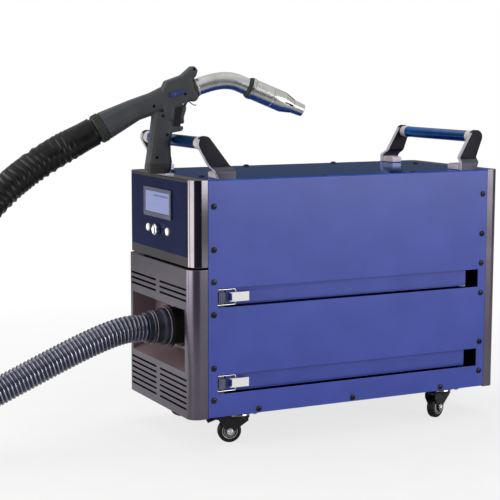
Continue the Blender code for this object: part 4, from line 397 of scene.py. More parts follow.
# %% Finishes of bare metal
chrome = finish_look(
    "chrome", (0.72, 0.73, 0.74), (0.84, 0.85, 0.86), (0.08, 0.16),
    metallic=1.0, grain=500, bump=0.02, broad=40)
zinc = finish_look(
    "zinc plate", (0.42, 0.42, 0.43), (0.60, 0.60, 0.61), (0.28, 0.44),
    metallic=1.0, grain=260, bump=0.04, broad=90)
steel = finish_look(
    "brushed steel", (0.40, 0.40, 0.41), (0.55, 0.55, 0.56), (0.24, 0.40),
    metallic=1.0, grain=500, bump=0.06, stretch=(1, 1, 8))
polished = finish_look(
    "polished neck", (0.46, 0.46, 0.44), (0.60, 0.60, 0.57), (0.24, 0.34),
    metallic=1.0, grain=420, bump=0.02, broad=30)
copper = finish_look(
    "coppery mouth", (0.30, 0.10, 0.04), (0.52, 0.24, 0.10), (0.26, 0.42),
    metallic=1.0, grain=700, bump=0.05, broad=120)
tube_blue = finish_look(
    "anodised blue tube", (0.006, 0.075, 0.270), (0.010, 0.100, 0.340), (0.16, 0.24),
    metallic=0.85, grain=700, bump=0.03, stretch=(1, 8, 1))
screw_black = finish_look(
    "black oxide screw", (0.020, 0.020, 0.026), (0.050, 0.050, 0.060), (0.16, 0.26),
    metallic=0.9, grain=1100, bump=0.05)
print("with metals:", len(bpy.data.materials), "materials")

# %% [markdown]
# Moulded plastic differs from paint by its grain: the mould is spark-eroded or
# blasted, so its bump is finer and stronger. The blacks stay a little above zero,
# because nothing real is perfectly black.

# %% Finishes of moulded plastic
bezel_grey = finish_look(
    "bezel grey", (0.050, 0.056, 0.088), (0.064, 0.072, 0.108), (0.34, 0.44),
    grain=2000, bump=0.04, specular=0.3)
black_plastic = finish_look(
    "black plastic", (0.006, 0.006, 0.008), (0.010, 0.010, 0.013), (0.34, 0.48),
    grain=1600, bump=0.12, specular=0.35)
arm_plastic = finish_look(
    "dark arm plastic", (0.009, 0.008, 0.015), (0.013, 0.012, 0.021), (0.42, 0.54),
    grain=1500, bump=0.10, specular=0.12)
# A light grey that paints the highlight on the arms' forward faces; the wheels' grey hub rings use it too.
edge_highlight_and_hub_grey = finish_look(
    "grey hub and arm edge highlight", (0.290, 0.280, 0.320), (0.360, 0.350, 0.400), (0.30, 0.42),
    grain=1500, bump=0.06)
# A lighter copy of the arm's plastic: painted light on the stretch below the step.
arm_below_step_lit = finish_look(
    "arm below step, painted light", (0.034, 0.032, 0.052), (0.048, 0.045, 0.070), (0.36, 0.46),
    metallic=0.2, grain=1200, bump=0.10)
ferrule_grey = finish_look(
    "light ferrule", (0.50, 0.44, 0.45), (0.66, 0.60, 0.60), (0.28, 0.38),
    metallic=0.4, grain=1500, bump=0.05)
catch_grey = finish_look(
    "catch grey", (0.080, 0.088, 0.150), (0.115, 0.125, 0.200), (0.34, 0.46),
    grain=1500, bump=0.08)
# White for the latch levers: a painted highlight that stands for their chrome shining white.
lever_white_highlight = finish_look(
    "white lever, painted chrome highlight", (0.80, 0.80, 0.78), (0.88, 0.88, 0.86), (0.22, 0.32),
    grain=900, bump=0.03)
button_white = finish_look(
    "white button", (0.78, 0.78, 0.76), (0.86, 0.86, 0.84), (0.22, 0.30),
    grain=1200, bump=0.03)
print("with plastics:", len(bpy.data.materials), "materials")

# %% [markdown]
# The hose is grey, and its crests get a brighter metallic finish that paints the highlights along the ribs.
# The cuff has two pale bands that are painted highlights, the sleeve is black leather, and the torch is
# moulded in slate grey with a fine spark texture and darker caps.

# %% Finishes of the lead, the torch and the inside
hose_grey = finish_look(
    "hose grey", (0.010, 0.011, 0.030), (0.018, 0.020, 0.044), (0.24, 0.34),
    grain=700, bump=0.05, specular=0.5)
# A brighter metallic copy for the hose crests: painted highlights along the ribs.
crest_highlight = finish_look(
    "hose crests, painted highlight", (0.26, 0.27, 0.36), (0.42, 0.43, 0.54), (0.14, 0.22),
    metallic=0.9, grain=700, bump=0.05, broad=60)
cuff_navy = finish_look(
    "cuff rubber", (0.010, 0.012, 0.026), (0.016, 0.020, 0.040), (0.30, 0.42),
    grain=1500, bump=0.06)
# A pale finish for two ring edges of the black cuff: painted highlights.
cuff_edge_highlight = finish_look(
    "pale cuff edge, painted highlight", (0.40, 0.33, 0.34), (0.52, 0.44, 0.45), (0.26, 0.36),
    grain=1500, bump=0.03)
leather = finish_look(
    "black leather", (0.0035, 0.0035, 0.0040), (0.0080, 0.0076, 0.0080), (0.24, 0.42),
    grain=420, bump=0.30, depth=0.0004, broad=70, specular=0.22)
tyre_black = finish_look(
    "tyre rubber", (0.007, 0.007, 0.008), (0.012, 0.012, 0.013), (0.42, 0.56),
    grain=1200, bump=0.18, specular=0.3)
torch_grey = finish_look(
    "slate torch shell", (0.036, 0.040, 0.044), (0.044, 0.049, 0.053), (0.46, 0.60),
    grain=2600, bump=0.22, broad=22, specular=0.3)
torch_dark = finish_look(
    "dark torch cap", (0.018, 0.020, 0.018), (0.024, 0.027, 0.024), (0.44, 0.56),
    grain=2600, bump=0.20, specular=0.3)
lever_blue = finish_look(
    "blue lever", (0.0112, 0.0190, 0.1426), (0.0156, 0.0268, 0.1860), (0.36, 0.48),
    grain=1500, bump=0.06)
paper = finish_look(
    "filter paper", (0.66, 0.64, 0.56), (0.80, 0.78, 0.70), (0.86, 0.96),
    grain=1100, bump=0.35, broad=60)
# Near black for hollows, the nozzle's bore and the ring's dimples: painted shade.
shade_dark = finish_look(
    "dark inside, painted shade", (0.004, 0.004, 0.006), (0.007, 0.007, 0.010), (0.70, 0.85),
    grain=800, bump=0.05)
print("with lead and torch:", len(bpy.data.materials), "materials")

# %% [markdown]
# ## Light and floor
#
# A product picture has a white ground and soft light. Light Path tells the world
# what a ray is for, and a few sums turn that into the strength of the world's
# light. A helper makes such a sum from numbers and from the sockets of other
# nodes.

# %% Sums with sockets
def worked(tree, operation, *values):
    """A Math node's result; each value is a number or another node's socket."""
    made = tree.nodes.new("ShaderNodeMath")
    made.operation = operation
    for socket, value in zip(made.inputs, values):
        if isinstance(value, float):
            socket.default_value = value
        else:
            tree.links.new(value, socket)
    return made.outputs[0]


print("sums ready")

# %% [markdown]
# The camera sees plain white. A reflection sees a room that is bright above and
# below and dim at eye level, and the dim level is what gives metal its dark
# stripes. The object itself gets only a weak even light, so that the lamps can
# shape it.

# %% A world that looks white
DIFFUSE_SHARE = 0.45
ROOM_SHADES = ((0.44, 0.50), (0.48, 0.14), (0.62, 0.14), (0.74, 0.80))
WHITE = (1.0, 1.0, 1.0, 1.0)

world = bpy.data.worlds.new("studio")
bpy.context.scene.world = world
world.use_nodes = True
sky_tree = world.node_tree
sky_tree.nodes.clear()
way_up = node(sky_tree, "SeparateXYZ")
sky_tree.links.new(node(sky_tree, "TexCoord").outputs["Generated"], way_up.inputs[0])
room = node(sky_tree, "ValToRGB")
room.color_ramp.interpolation = "EASE"
for stop, position in zip(room.color_ramp.elements, (0.0, 1.0)):
    stop.position = position
    stop.color = WHITE
for place, shade in ROOM_SHADES:
    room.color_ramp.elements.new(place).color = (shade, shade, shade, 1.0)
sky_tree.links.new(worked(sky_tree, "MULTIPLY_ADD", way_up.outputs["Z"], 0.5, 0.5), room.inputs["Fac"])

ray = node(sky_tree, "LightPath").outputs
seen = worked(sky_tree, "MAXIMUM", ray["Is Camera Ray"], ray["Is Transmission Ray"])
mirrored = worked(sky_tree, "MULTIPLY", room.outputs["Color"], ray["Is Glossy Ray"])
lighting = worked(sky_tree, "MULTIPLY", ray["Is Diffuse Ray"], DIFFUSE_SHARE)
strength = worked(sky_tree, "ADD", worked(sky_tree, "MAXIMUM", seen, mirrored), lighting)
sky = node(sky_tree, "Background", Color=WHITE)
sky_tree.links.new(strength, sky.inputs["Strength"])
sky_tree.links.new(sky.outputs[0], node(sky_tree, "OutputWorld").inputs["Surface"])
print("world nodes:", len(sky_tree.nodes))

# %% [markdown]
# The floor is a plain pale sheet that has to keep the object's shadow. To the
# camera it glows a little as well, more with the distance from the object, so
# that it runs into the white ground without an edge.

# %% Floor
FLOOR_HALF, FLOOR_DROP = 9.0, 0.0006
floor_look = finish_look(
    "pale floor", (0.54, 0.54, 0.54), (0.58, 0.58, 0.58), (0.75, 0.85),
    grain=300, bump=0.02, specular=0.2)
floor_tree = floor_look.node_tree
distance = node(floor_tree, "VectorMath")
distance.operation = "LENGTH"
floor_tree.links.new(node(floor_tree, "TexCoord").outputs["Object"], distance.inputs[0])
glow_share = node(floor_tree, "MapRange", From_Min=0.5, From_Max=1.7, To_Min=0.76, To_Max=1.0)
floor_tree.links.new(distance.outputs["Value"], glow_share.inputs["Value"])
floor_ray = node(floor_tree, "LightPath").outputs["Is Camera Ray"]
mixed = node(floor_tree, "MixShader")
floor_tree.links.new(worked(floor_tree, "MULTIPLY", floor_ray, glow_share.outputs[0]), mixed.inputs[0])
floor_tree.links.new(floor_tree.nodes["Principled BSDF"].outputs[0], mixed.inputs[1])
floor_tree.links.new(node(floor_tree, "Emission").outputs[0], mixed.inputs[2])
floor_tree.links.new(mixed.outputs[0], floor_tree.nodes["Material Output"].inputs["Surface"])

floor_signs = ((-1, -1), (1, -1), (1, 1), (-1, 1))
floor_corners = [(x * FLOOR_HALF, y * FLOOR_HALF, -FLOOR_DROP) for x, y in floor_signs]
floor = piece("floor", floor_corners, [(0, 1, 2, 3)], None, floor_look, smooth=False)
print("floor", 2 * FLOOR_HALF, "m wide")

# %% [markdown]
# Three large soft lamps do the shaping. The one in front and to the left is what
# the round front corner mirrors as its bright band. The overhead lamp lights the
# top but is hidden from mirror rays, which keeps the polished neck clean. The
# low fill on the right lights the near side. A dark cloth, seen only in
# reflections, stands beside the front lamp, and the corner mirrors it as the dark
# band next to the bright one.

# %% Lamps and the dark cloth
def lamp(name, place, target, size, power, colour=(1.0, 1.0, 1.0)):
    light = bpy.data.lights.new(name, "AREA")
    light.shape = "RECTANGLE"
    light.size, light.size_y = size
    light.energy = power
    light.color = colour
    made = bpy.data.objects.new(name, light)
    bpy.context.collection.objects.link(made)
    made.location = place
    made.rotation_euler = (Vector(target) - Vector(place)).to_track_quat("-Z", "Y").to_euler()
    return made


cloth_look = finish_look(
    "dark cloth", (0.040, 0.040, 0.075), (0.055, 0.055, 0.100), (0.85, 0.95), grain=600, specular=0.05)
cloth_corners = [(0.25, -1.76, 0.0), (-1.72, -1.01, 0.0), (-1.72, -1.01, 1.1), (0.25, -1.76, 1.1)]
cloth = piece("dark screen", cloth_corners, [(0, 1, 2, 3)], None, cloth_look, smooth=False)
cloth.visible_camera = False
cloth.visible_diffuse = False
cloth.visible_shadow = False
cloth.visible_transmission = False
lamp("front panel", (-1.81, 0.24, 0.66), (-0.27, -0.17, 0.60), (2.78, 1.28), 42, (1.0, 0.96, 0.95))
overhead = lamp("overhead", (0.2, 0.5, 2.6), (0.1, 0.0, 0.4), (2.2, 1.8), 34)
overhead.visible_glossy = False
lamp("near fill", (1.6, -2.8, 0.95), (0.1, 0.0, 0.35), (2.2, 1.5), 44)
bpy.context.scene.view_settings.view_transform = "Standard"
print("lamps:", ", ".join(light.name for light in bpy.data.lights))

# %% [markdown]
# ## The lead: where it runs
#
# A hose has a fixed length, so its route is settled before its looks. Three small
# tools serve it: a curve between two places that is pulled by two others, the
# length of a path, and the same path again in even steps.

# %% Tools for a path
def bezier_points(a, b, c, d, count=160):
    found = []
    for i in range(count + 1):
        t = i / count
        r = 1 - t
        found.append(a * r ** 3 + b * 3 * r * r * t + c * 3 * r * t * t + d * t ** 3)
    return found


def length_of(path):
    return sum((b - a).length for a, b in zip(path, path[1:]))


def evenly(path, count):
    """The same path as `count` steps of one length."""
    lengths = [0.0]
    for a, b in zip(path, path[1:]):
        lengths.append(lengths[-1] + (b - a).length)
    found, i = [], 0
    for k in range(count + 1):
        target = lengths[-1] * k / count
        while i < len(lengths) - 2 and lengths[i + 1] < target:
            i += 1
        share = (target - lengths[i]) / max(lengths[i + 1] - lengths[i], 1e-9)
        found.append(path[i].lerp(path[i + 1], share))
    return found


test_bend = bezier_points(Vector((0, 0, 0)), Vector((1, 0, 0)), Vector((1, 0, 0)), Vector((1, 1, 0)))
print("a bend round the corner of a unit square:", round(length_of(test_bend), 3), "long")

# %% [markdown]
# The hose leaves the cuff straight, sags to the floor, runs forward and turns one
# wide loop that a ribbed hose of this size can take. The route repeats the one
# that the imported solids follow, so the dressed hose lies where the solid one does.

# %% Route of the hose
HOSE_R, SLEEVE_R = 0.029, 0.032
MOUTH_Z = 0.234006
CUFF_END_X = -0.0703
LAND_X, LOOP_X, LOOP_R = -0.720, -1.000, 0.240
LOOP_FROM, LOOP_SWEEP, LOOP_STEPS = 90.0, 225.0, 160
PULL_OUT, PULL_LAND = 0.105, 0.170
floor_z = HOSE_R + FLOOR_DROP

hose_start = spot(CUFF_END_X, MID, MOUTH_Z)
hose_land = spot(LAND_X, MID, floor_z)
hose_leave = hose_start - Vector((HOSE_R, 0, 0))
hose_path = [hose_start] + bezier_points(
    hose_leave, hose_leave - Vector((PULL_OUT, 0, 0)), hose_land + Vector((PULL_LAND, 0, 0)), hose_land)
loop_middle = spot(LOOP_X, MID - LOOP_R, floor_z)
for i in range(LOOP_STEPS + 1):
    turn = math.radians(LOOP_FROM + LOOP_SWEEP * i / LOOP_STEPS)
    hose_path.append(loop_middle + LOOP_R * Vector((math.cos(turn), math.sin(turn), 0)))
LOOP_END = math.radians(LOOP_FROM + LOOP_SWEEP + 90.0 - 360.0)
heading = Vector((math.cos(LOOP_END), math.sin(LOOP_END), 0))
hose_path.append(hose_path[-1] + heading * 2 * HOSE_R)
print("hose", round(length_of(hose_path), 3), "m")

# %% [markdown]
# The leather sleeve starts where the joint at the hose's end stops, and climbs
# back to the torch in one smooth curve. Both ends have a short straight stretch,
# so that the curve leaves the joint and meets the lock nut without a kink.

# %% Route of the sleeve
JOINT_LONG, GAP = 0.090, 0.0003
REAR_DIP = math.radians(27.8)
STRAIGHT = 2 * SLEEVE_R
NUT_AND_GAPS = 0.0186
PULL_UP, PULL_BACK = 0.40, 0.50

joint_start = hose_path[-1] + heading * GAP
sleeve_start = joint_start + heading * (JOINT_LONG + GAP) + Vector((0, 0, SLEEVE_R - HOSE_R))
back = torch_way(-math.cos(REAR_DIP), 0, -math.sin(REAR_DIP))
torch_rear = on_torch(-0.156, 0, 0.0315)
sleeve_end = torch_rear + back * NUT_AND_GAPS
sleeve_out, sleeve_arrive = sleeve_start + heading * STRAIGHT, sleeve_end + back * STRAIGHT
climb = bezier_points(
    sleeve_out, sleeve_out + heading * PULL_UP, sleeve_arrive + back * PULL_BACK, sleeve_arrive)
sleeve_path = [sleeve_start] + climb + [sleeve_end]
print("sleeve", round(length_of(sleeve_path), 3), "m")

# %% [markdown]
# ## The ribbed hose
#
# A suction hose is a thin wall with a ridge about every 9 mm. A plain tube with a striped bump would look
# flat along its edge, so each rib is real: a rounded crest, two flanks and a valley, repeated along the
# route. The crests get a brighter metallic finish of their own, which paints the highlights that they catch
# first.

# %% Hose
RIBS, RIB_PARTS, HOSE_STEPS = 226, 36, 40
VALLEY_R = 0.0264
RIB_SHAPE = (
    (0.00, VALLEY_R), (0.12, 0.0266), (0.24, 0.0276), (0.33, 0.0287), (0.44, 0.0290),
    (0.56, 0.0290), (0.67, 0.0287), (0.76, 0.0276), (0.88, 0.0266),
)
CREST_STATIONS = (3, 4, 5)

stations = evenly(hose_path, RIBS * RIB_PARTS)
hose_centres, hose_radii = [], []
for rib in range(RIBS):
    for share, radius in RIB_SHAPE:
        hose_centres.append(stations[min(round((rib + share) * RIB_PARTS), len(stations) - 1)])
        hose_radii.append(radius)
hose_centres.append(stations[-1])
hose_radii.append(VALLEY_R)
hose = skin("ribbed_hose", swept(hose_centres, hose_radii, HOSE_STEPS), "machine", hose_grey)
hose.data.materials.append(crest_highlight)
# The crest faces take the brighter finish, which is painted highlight.
for face in hose.data.polygons:
    station = face.vertices[0] // HOSE_STEPS % len(RIB_SHAPE)
    if station in CREST_STATIONS and len(face.vertices) == 4:
        face.material_index = 1
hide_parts("extraction_hose")
print("hose vertices", len(hose.data.vertices))

# %% [markdown]
# ## The joint between hose and sleeve
#
# Two moulded collars with a grooved middle clamp the hose to the torch lead. It
# is a turned shape, so a profile of distances and radii says all of it. The
# grooves are worked out by a loop, because they all have the same width.

# %% Joint
RING_LONG, GROOVES, BORE_R = 0.014, 9, 0.0245
middle_start, middle_end = RING_LONG + 0.004, JOINT_LONG - RING_LONG - 0.004
groove_wide = (middle_end - middle_start) / GROOVES
first_ring = [(0, BORE_R), (0, 0.0282), (0.0012, 0.0290), (RING_LONG - 0.0012, 0.0290), (RING_LONG, 0.0280)]
joint_profile = list(first_ring)
for i in range(GROOVES):
    at = middle_start + groove_wide * i
    joint_profile += [(at, 0.0262), (at + groove_wide * 0.25, 0.0272)]
    joint_profile += [(at + groove_wide * 0.75, 0.0272), (at + groove_wide * 0.95, 0.0262)]
joint_profile += [(JOINT_LONG - at, radius) for at, radius in reversed(first_ring)]
joint = turned("lead_joint", joint_profile, joint_start, heading, "machine", black_plastic, 56, True)
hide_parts("hose_joint")
print("joint profile:", len(joint_profile), "points")

# %% [markdown]
# ## The leather sleeve
#
# The lead runs in a leather sleeve that is a little too wide for it, so the
# leather folds into ridges across the lead. The ridges come from a cosine along
# the sleeve. Noise shifts them, so they wander round the tube, and a second noise
# makes patches where they fade out, which keeps them from looking turned. A thin
# raised line is the seam. Near the torch the leather is pulled smooth and narrow
# over its collar. A finer noise in the material gives the grain.

# %% Folds of the leather
FOLD_PITCH, FOLD_HIGH, FOLD_SUNK = 0.0135, 0.0032, 0.0019
SEAM_TURN, SEAM_HIGH = 3.9, 0.0009
TUCKED_R, TUCKED_LONG = 0.0262, 0.004
PULLED_R, PULLED_LONG = 0.0296, 0.030
WIDER_BY, WIDER_OVER = 0.0022, 0.040


def sleeve_radius(from_torch):
    if from_torch < TUCKED_LONG:
        return TUCKED_R
    if from_torch < PULLED_LONG:
        return PULLED_R
    return PULLED_R + WIDER_BY * min(1.0, (from_torch - PULLED_LONG) / WIDER_OVER)


def fold(along, turn):
    """How far loose leather stands out at a place along and round the sleeve."""
    x, y = math.cos(turn) * 0.8, math.sin(turn) * 0.8
    wander = 1.5 * noise.noise(Vector((x * 0.9, y * 0.9, along * 14)))
    phase = along / FOLD_PITCH + wander + 0.30 * math.sin(turn + along * 9)
    ridge = (0.5 + 0.5 * math.cos(2 * math.pi * phase)) ** 1.6
    faded = 0.6 + 1.3 * noise.noise(Vector((x * 1.4 + 5, y * 1.4, along * 26)))
    seam = SEAM_HIGH * math.exp(-((turn - SEAM_TURN) / 0.09) ** 2)
    return min(1.0, max(0.1, faded)) * (FOLD_HIGH * ridge - FOLD_SUNK) + seam


print("a fold at the start:", round(fold(0.1, 0.0) * 1000, 2), "mm")

# %% [markdown]
# The tube is swept first, and then every point is moved in or out from the middle
# of its ring. The rings stand close enough to carry the ridges, about seven to a
# fold. The folds fade out at both ends, where the leather is clamped.

# %% Sleeve
SLEEVE_RINGS, SLEEVE_STEPS = 560, 56
CLAMPED, FADE = 0.045, 0.03
DEEPEST, HIGHEST = -0.0036, 0.0013

centres = evenly(sleeve_path, SLEEVE_RINGS)
sleeve_long = length_of(sleeve_path)
places = [i / SLEEVE_RINGS * sleeve_long for i in range(SLEEVE_RINGS + 1)]
rings = swept(centres, [sleeve_radius(sleeve_long - along) for along in places], SLEEVE_STEPS)
for centre, along, ring in zip(centres, places, rings):
    loose = min(1.0, max(0.0, (sleeve_long - along - CLAMPED) / FADE)) * min(1.0, along / FADE)
    for k, point in enumerate(ring):
        move = loose * fold(along, 2 * math.pi * k / SLEEVE_STEPS)
        ring[k] = point + (point - centre).normalized() * max(DEEPEST, min(HIGHEST, move))
sleeve = skin("leather_sleeve_folds", rings, "machine", leather, angle=80.0)
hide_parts("leather_sleeve")
print("sleeve vertices", len(sleeve.data.vertices))

# %% [markdown]
# Both routes are worked out again in a few even steps; the results are not kept.

# %% The routes in a few points
evenly(hose_path, 38)
evenly(sleeve_path, 30)
print("lead", round(length_of(hose_path) + JOINT_LONG + sleeve_long, 2), "m")

# %% [markdown]
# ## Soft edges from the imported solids
#
# Many parts already have the right form, but every moulded or pressed part has
# rounded edges, and sharp ones look drawn. `soft_copy` takes a copy of a packed
# solid, clears its extra edges, bevels the real ones by the width that the
# process leaves, and lets the copy stand for the node. The copy has to ride on
# the same body as its node, so that it moves with it.

# %% Soft copies
body_by_node = {}
for owner, members in frame["record"]["behaviour"]["bodies"].items():
    for member in members:
        body_by_node[member] = owner


def soft_copy(node_name, look, width, segments=2, angle=35.0):
    work = bmesh.new()
    work.from_mesh(frame["nodes"][node_name].data)
    bmesh.ops.remove_doubles(work, verts=work.verts, dist=0.00002)
    bmesh.ops.dissolve_limit(work, angle_limit=math.radians(1.0), verts=work.verts, edges=work.edges)
    bmesh.ops.recalc_face_normals(work, faces=work.faces)
    mesh = bpy.data.meshes.new(node_name + "_finished")
    work.to_mesh(mesh)
    work.free()
    mesh.shade_smooth()
    mesh.set_sharp_from_angle(angle=math.radians(30.0))
    made = bpy.data.objects.new(node_name + "_finished", mesh)
    bpy.context.collection.objects.link(made)
    mesh.materials.append(look)
    bevelled(made, width, segments, angle)
    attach(made, body_by_node.get(node_name, "machine"))
    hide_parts(node_name)
    return made


print("bodies of nodes known:", len(body_by_node))

# %% [markdown]
# ## Sheet metal
#
# The panels of the frame already have the right shape: flat sheet with slots. The two side panels and the top
# cover show, so they are soft copies with a narrow edge, as folded sheet has. What lies behind them hardly
# shows, so those solids are only painted: the chassis, the zinc-plated inside and the paper filter. The
# chassis gets a dark navy, which is painted shade for what is seen through the louvres and slots.

# %% Paint the sheet metal
SHEET_EDGE = 0.0006


def dress(look, *names):
    for name in names:
        mesh = frame["nodes"][name].data
        mesh.materials.clear()
        mesh.materials.append(look)


dress(chassis_shade_navy, "chassis")
dress(zinc, "filter_deck", "blower_housing", "turbine_impeller")
dress(paper, "filter_media")
soft_copy("side_panel_near", paint_blue, SHEET_EDGE, 2, 50.0)
soft_copy("side_panel_far", paint_blue, SHEET_EDGE, 2, 50.0)
soft_copy("top_cover", paint_top_reflection, SHEET_EDGE, 2, 50.0)
print("sheet metal painted")

# %% [markdown]
# ## Screws
#
# Button-head screws with a hex socket hold the panels. One screw is a turned
# dome with a six-sided pocket: the rings of the pocket are circles whose radius
# follows the six flats of the key.

# %% One screw
DOME = ((1.0, 0.0), (1.0, 0.10), (0.97, 0.35), (0.86, 0.66), (0.68, 0.88), (0.50, 0.97))
FLAT = math.cos(math.pi / 6)


def screw_shape(place, way, radius=0.0064, height=0.0034, hexagon=0.0023, steps=24):
    along, side, other = frame_of(way)
    rings = []
    for share, lift in DOME:
        rings.append(circle(Vector(place) + along * height * lift, radius * share, side, other, steps))
    for size, lift in ((hexagon * 1.12, 0.98), (hexagon, 0.90), (hexagon, 0.25)):
        centre = Vector(place) + along * height * lift
        key = []
        for i in range(steps):
            t = 2 * math.pi * i / steps
            flat = FLAT / math.cos((t % (math.pi / 3)) - math.pi / 6)
            key.append(centre + size * flat * (math.cos(t) * side + math.sin(t) * other))
        rings.append(key)
    return ring_faces(rings)


print("points in one screw:", len(screw_shape(corner, (0, -1, 0))[0]))

# %% [markdown]
# The same screw is repeated at every hole and merged into one piece per panel,
# which keeps the list of pieces short. Both sides have a column of six near each
# end and three along the bottom; the top has nine.

# %% Rows of screws
OVER_PANEL = 0.0001
COLUMN_HEIGHTS = (0.436, 0.3475, 0.2815, 0.214, 0.103, 0.036)
FROM_END, BOTTOM_HEIGHT = 0.012, 0.0085
BOTTOM_PLACES = (0.1155, 0.3425, 0.5695)
TOP_PLACES = (
    (0.039, 0.010), (0.273, 0.010), (0.493, 0.010), (0.250, 0.330), (0.480, 0.330),
    (0.030, 0.096), (0.030, 0.245), (0.655, 0.096), (0.655, 0.245),
)


def screws(name, places, way):
    shapes = [screw_shape(spot(*place), way) for place in places]
    return merge(name, shapes, "machine", screw_black, angle=32.0)


side_places = [(x, BODY_BASE + z) for z in COLUMN_HEIGHTS for x in (FROM_END, LENGTH - FROM_END)]
side_places += [(x, BODY_BASE + BOTTOM_HEIGHT) for x in BOTTOM_PLACES]
screws("near_side_screws", [(x, -OVER_PANEL, z) for x, z in side_places], (0, -1, 0))
screws("far_side_screws", [(x, WIDTH + OVER_PANEL, z) for x, z in side_places], (0, 1, 0))
screws("top_screws", [(x, y, BODY_TOP + OVER_PANEL) for x, y in TOP_PLACES], (0, 0, 1))
print("screws:", 2 * len(side_places) + len(TOP_PLACES))

# %% [markdown]
# ## The end covers
#
# The covers are moulded shells with a wide radius at the two upright corners.
# That radius decides how broad the bright band down the front is. The frame's
# covers have few facets there, so finer shells replace them: the same outline
# with more steps, a soft edge all round, and the same openings cut by Booleans.
#
# A Boolean modifier is only a recipe, so its result is taken as a new mesh and
# the cutters are removed. The exact solver is used, because the faces of a shell
# and its cutters lie close together.

# %% Booleans
def apply_all(obj):
    graph = bpy.context.evaluated_depsgraph_get()
    mesh = bpy.data.meshes.new_from_object(obj.evaluated_get(graph))
    obj.modifiers.clear()
    obj.data = mesh
    return obj


def carve(obj, cutters, operation="DIFFERENCE"):
    for cutter in cutters:
        step = obj.modifiers.new(cutter.name, "BOOLEAN")
        step.operation = operation
        step.solver = "EXACT"
        step.object = cutter
    bpy.context.view_layer.update()
    apply_all(obj)
    for cutter in cutters:
        bpy.data.objects.remove(cutter, do_unlink=True)
    return obj


print("Booleans ready")

# %% [markdown]
# The outline of a cover, seen from above, is a U with two round corners. Made once
# at full size and once smaller by the wall, it gives both the shell and the
# hollow that is cut out of it.

# %% Shell of a cover
CORNER, WALL = 0.0225, 0.0025


def cover_outline(open_x, face_x, inset, steps=24):
    sign = 1 if face_x < open_x else -1
    radius, face = CORNER - inset, face_x + sign * inset
    turns = [math.pi / 2 * i / steps for i in range(steps + 1)]
    arc = [(face + sign * radius * (1 - math.sin(t)), radius * (1 - math.cos(t))) for t in turns]
    near = [(x, inset + y) for x, y in arc]
    far = [(x, WIDTH - inset - y) for x, y in reversed(arc)]
    return [(open_x, inset)] + near + far + [(open_x, WIDTH - inset)]


def cover_shell(name, open_x, face_x, low, high, look):
    shell = slab(name, cover_outline(open_x, face_x, 0), low, high, "z", "machine", look)
    bevelled(shell, 0.0012, 3, 60.0)
    apply_all(shell)
    beyond = open_x + math.copysign(0.004, open_x - face_x)
    inside = cover_outline(beyond, face_x, WALL)
    return carve(shell, [slab(name + "_hollow", inside, low + WALL, high - WALL, "z", None, look)])


print("points in a cover's outline:", len(cover_outline(0.0, -0.04, 0)))

# %% [markdown]
# Louvres are slots with round ends, in two columns with a bar between them. All
# slots of a field become one cutter, so the cover is cut in one step.

# %% Louvres
LOUVRE_TALL, LOUVRE_INSET, LOUVRE_BAR = 0.0045, 0.022, 0.018


def rounded_slot(name, x, y, z, steps=5):
    """A slot with round ends, cut along x."""
    half = (z[1] - z[0]) / 2
    middle = (z[0] + z[1]) / 2
    outline = []
    for centre, start in ((y[1] - half, -90), (y[0] + half, 90)):
        for i in range(steps + 1):
            t = math.radians(start + 180 * i / steps)
            outline.append((centre + half * math.cos(t), middle + half * math.sin(t)))
    return slab(name, outline, x[0], x[1], "x", None, None)


def joined(name, objects):
    parts = []
    for obj in objects:
        points = [vertex.co.copy() for vertex in obj.data.vertices]
        parts.append((points, [list(face.vertices) for face in obj.data.polygons]))
        bpy.data.objects.remove(obj, do_unlink=True)
    return merge(name, parts, None, None, smooth=False)


def louvres(name, x, top, pitch, rows):
    columns = ((LOUVRE_INSET, MID - LOUVRE_BAR / 2), (MID + LOUVRE_BAR / 2, WIDTH - LOUVRE_INSET))
    made = []
    for row in range(rows):
        z = top - row * pitch
        for y in columns:
            made.append(rounded_slot(name, x, y, (z - LOUVRE_TALL / 2, z + LOUVRE_TALL / 2)))
    return joined(name, made)


print("louvre", LOUVRE_TALL * 1000, "mm tall")

# %% [markdown]
# The upper cover has an opening for the display and holes for the two buttons and
# the knob's shaft. It has the glossier finish.

# %% Upper front cover
COVER_BACK = -0.0003
UPPER_FACE, LOWER_FACE = -0.036, -0.0395
BUTTON_APART, BUTTON_HOLE_R, SHAFT_HOLE_R = 0.051, 0.0086, 0.0036
CUT_X = (-0.050, -0.026)
control_z = BODY_BASE + 0.375
view_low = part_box("display_window")[0]

upper_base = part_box("front_upper_cover")[0].z
upper = cover_shell("upper_front_cover", COVER_BACK, UPPER_FACE, upper_base, BODY_TOP, cover_gloss)
view_cut_z = (BODY_BASE + 0.4097, BODY_BASE + 0.4543)
upper_cuts = [box("view_cut", CUT_X, (0.1062, 0.2338), view_cut_z, None, None, smooth=False)]
for aside, radius in ((-BUTTON_APART, BUTTON_HOLE_R), (0, SHAFT_HOLE_R), (BUTTON_APART, BUTTON_HOLE_R)):
    depth = CUT_X[1] - CUT_X[0]
    drill = [(0, 0), (0, radius), (depth, radius), (depth, 0)]
    place = spot(CUT_X[0], MID + aside, control_z)
    upper_cuts.append(turned("hole_cut", drill, place, (1, 0, 0), None, None, 40))
carve(upper, upper_cuts)
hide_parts("front_upper_cover")
print("upper cover faces:", len(upper.data.polygons))

# %% [markdown]
# The lower cover has a deep pocket, in whose floor the hose's collar sits. The
# pocket is a tub with leaning walls: a larger one is joined to the shell first,
# and a smaller one is then cut out, which leaves a wall all round. Three louvre
# rows stand above the pocket and six below it.

# %% Lower front cover
TUB_SIDE, TUB_LOW, TUB_HIGH = 0.030, 0.092, 0.224
COLLAR_HOLE_R = 0.0462
LOUVRE_X = (-0.052, -0.0285)


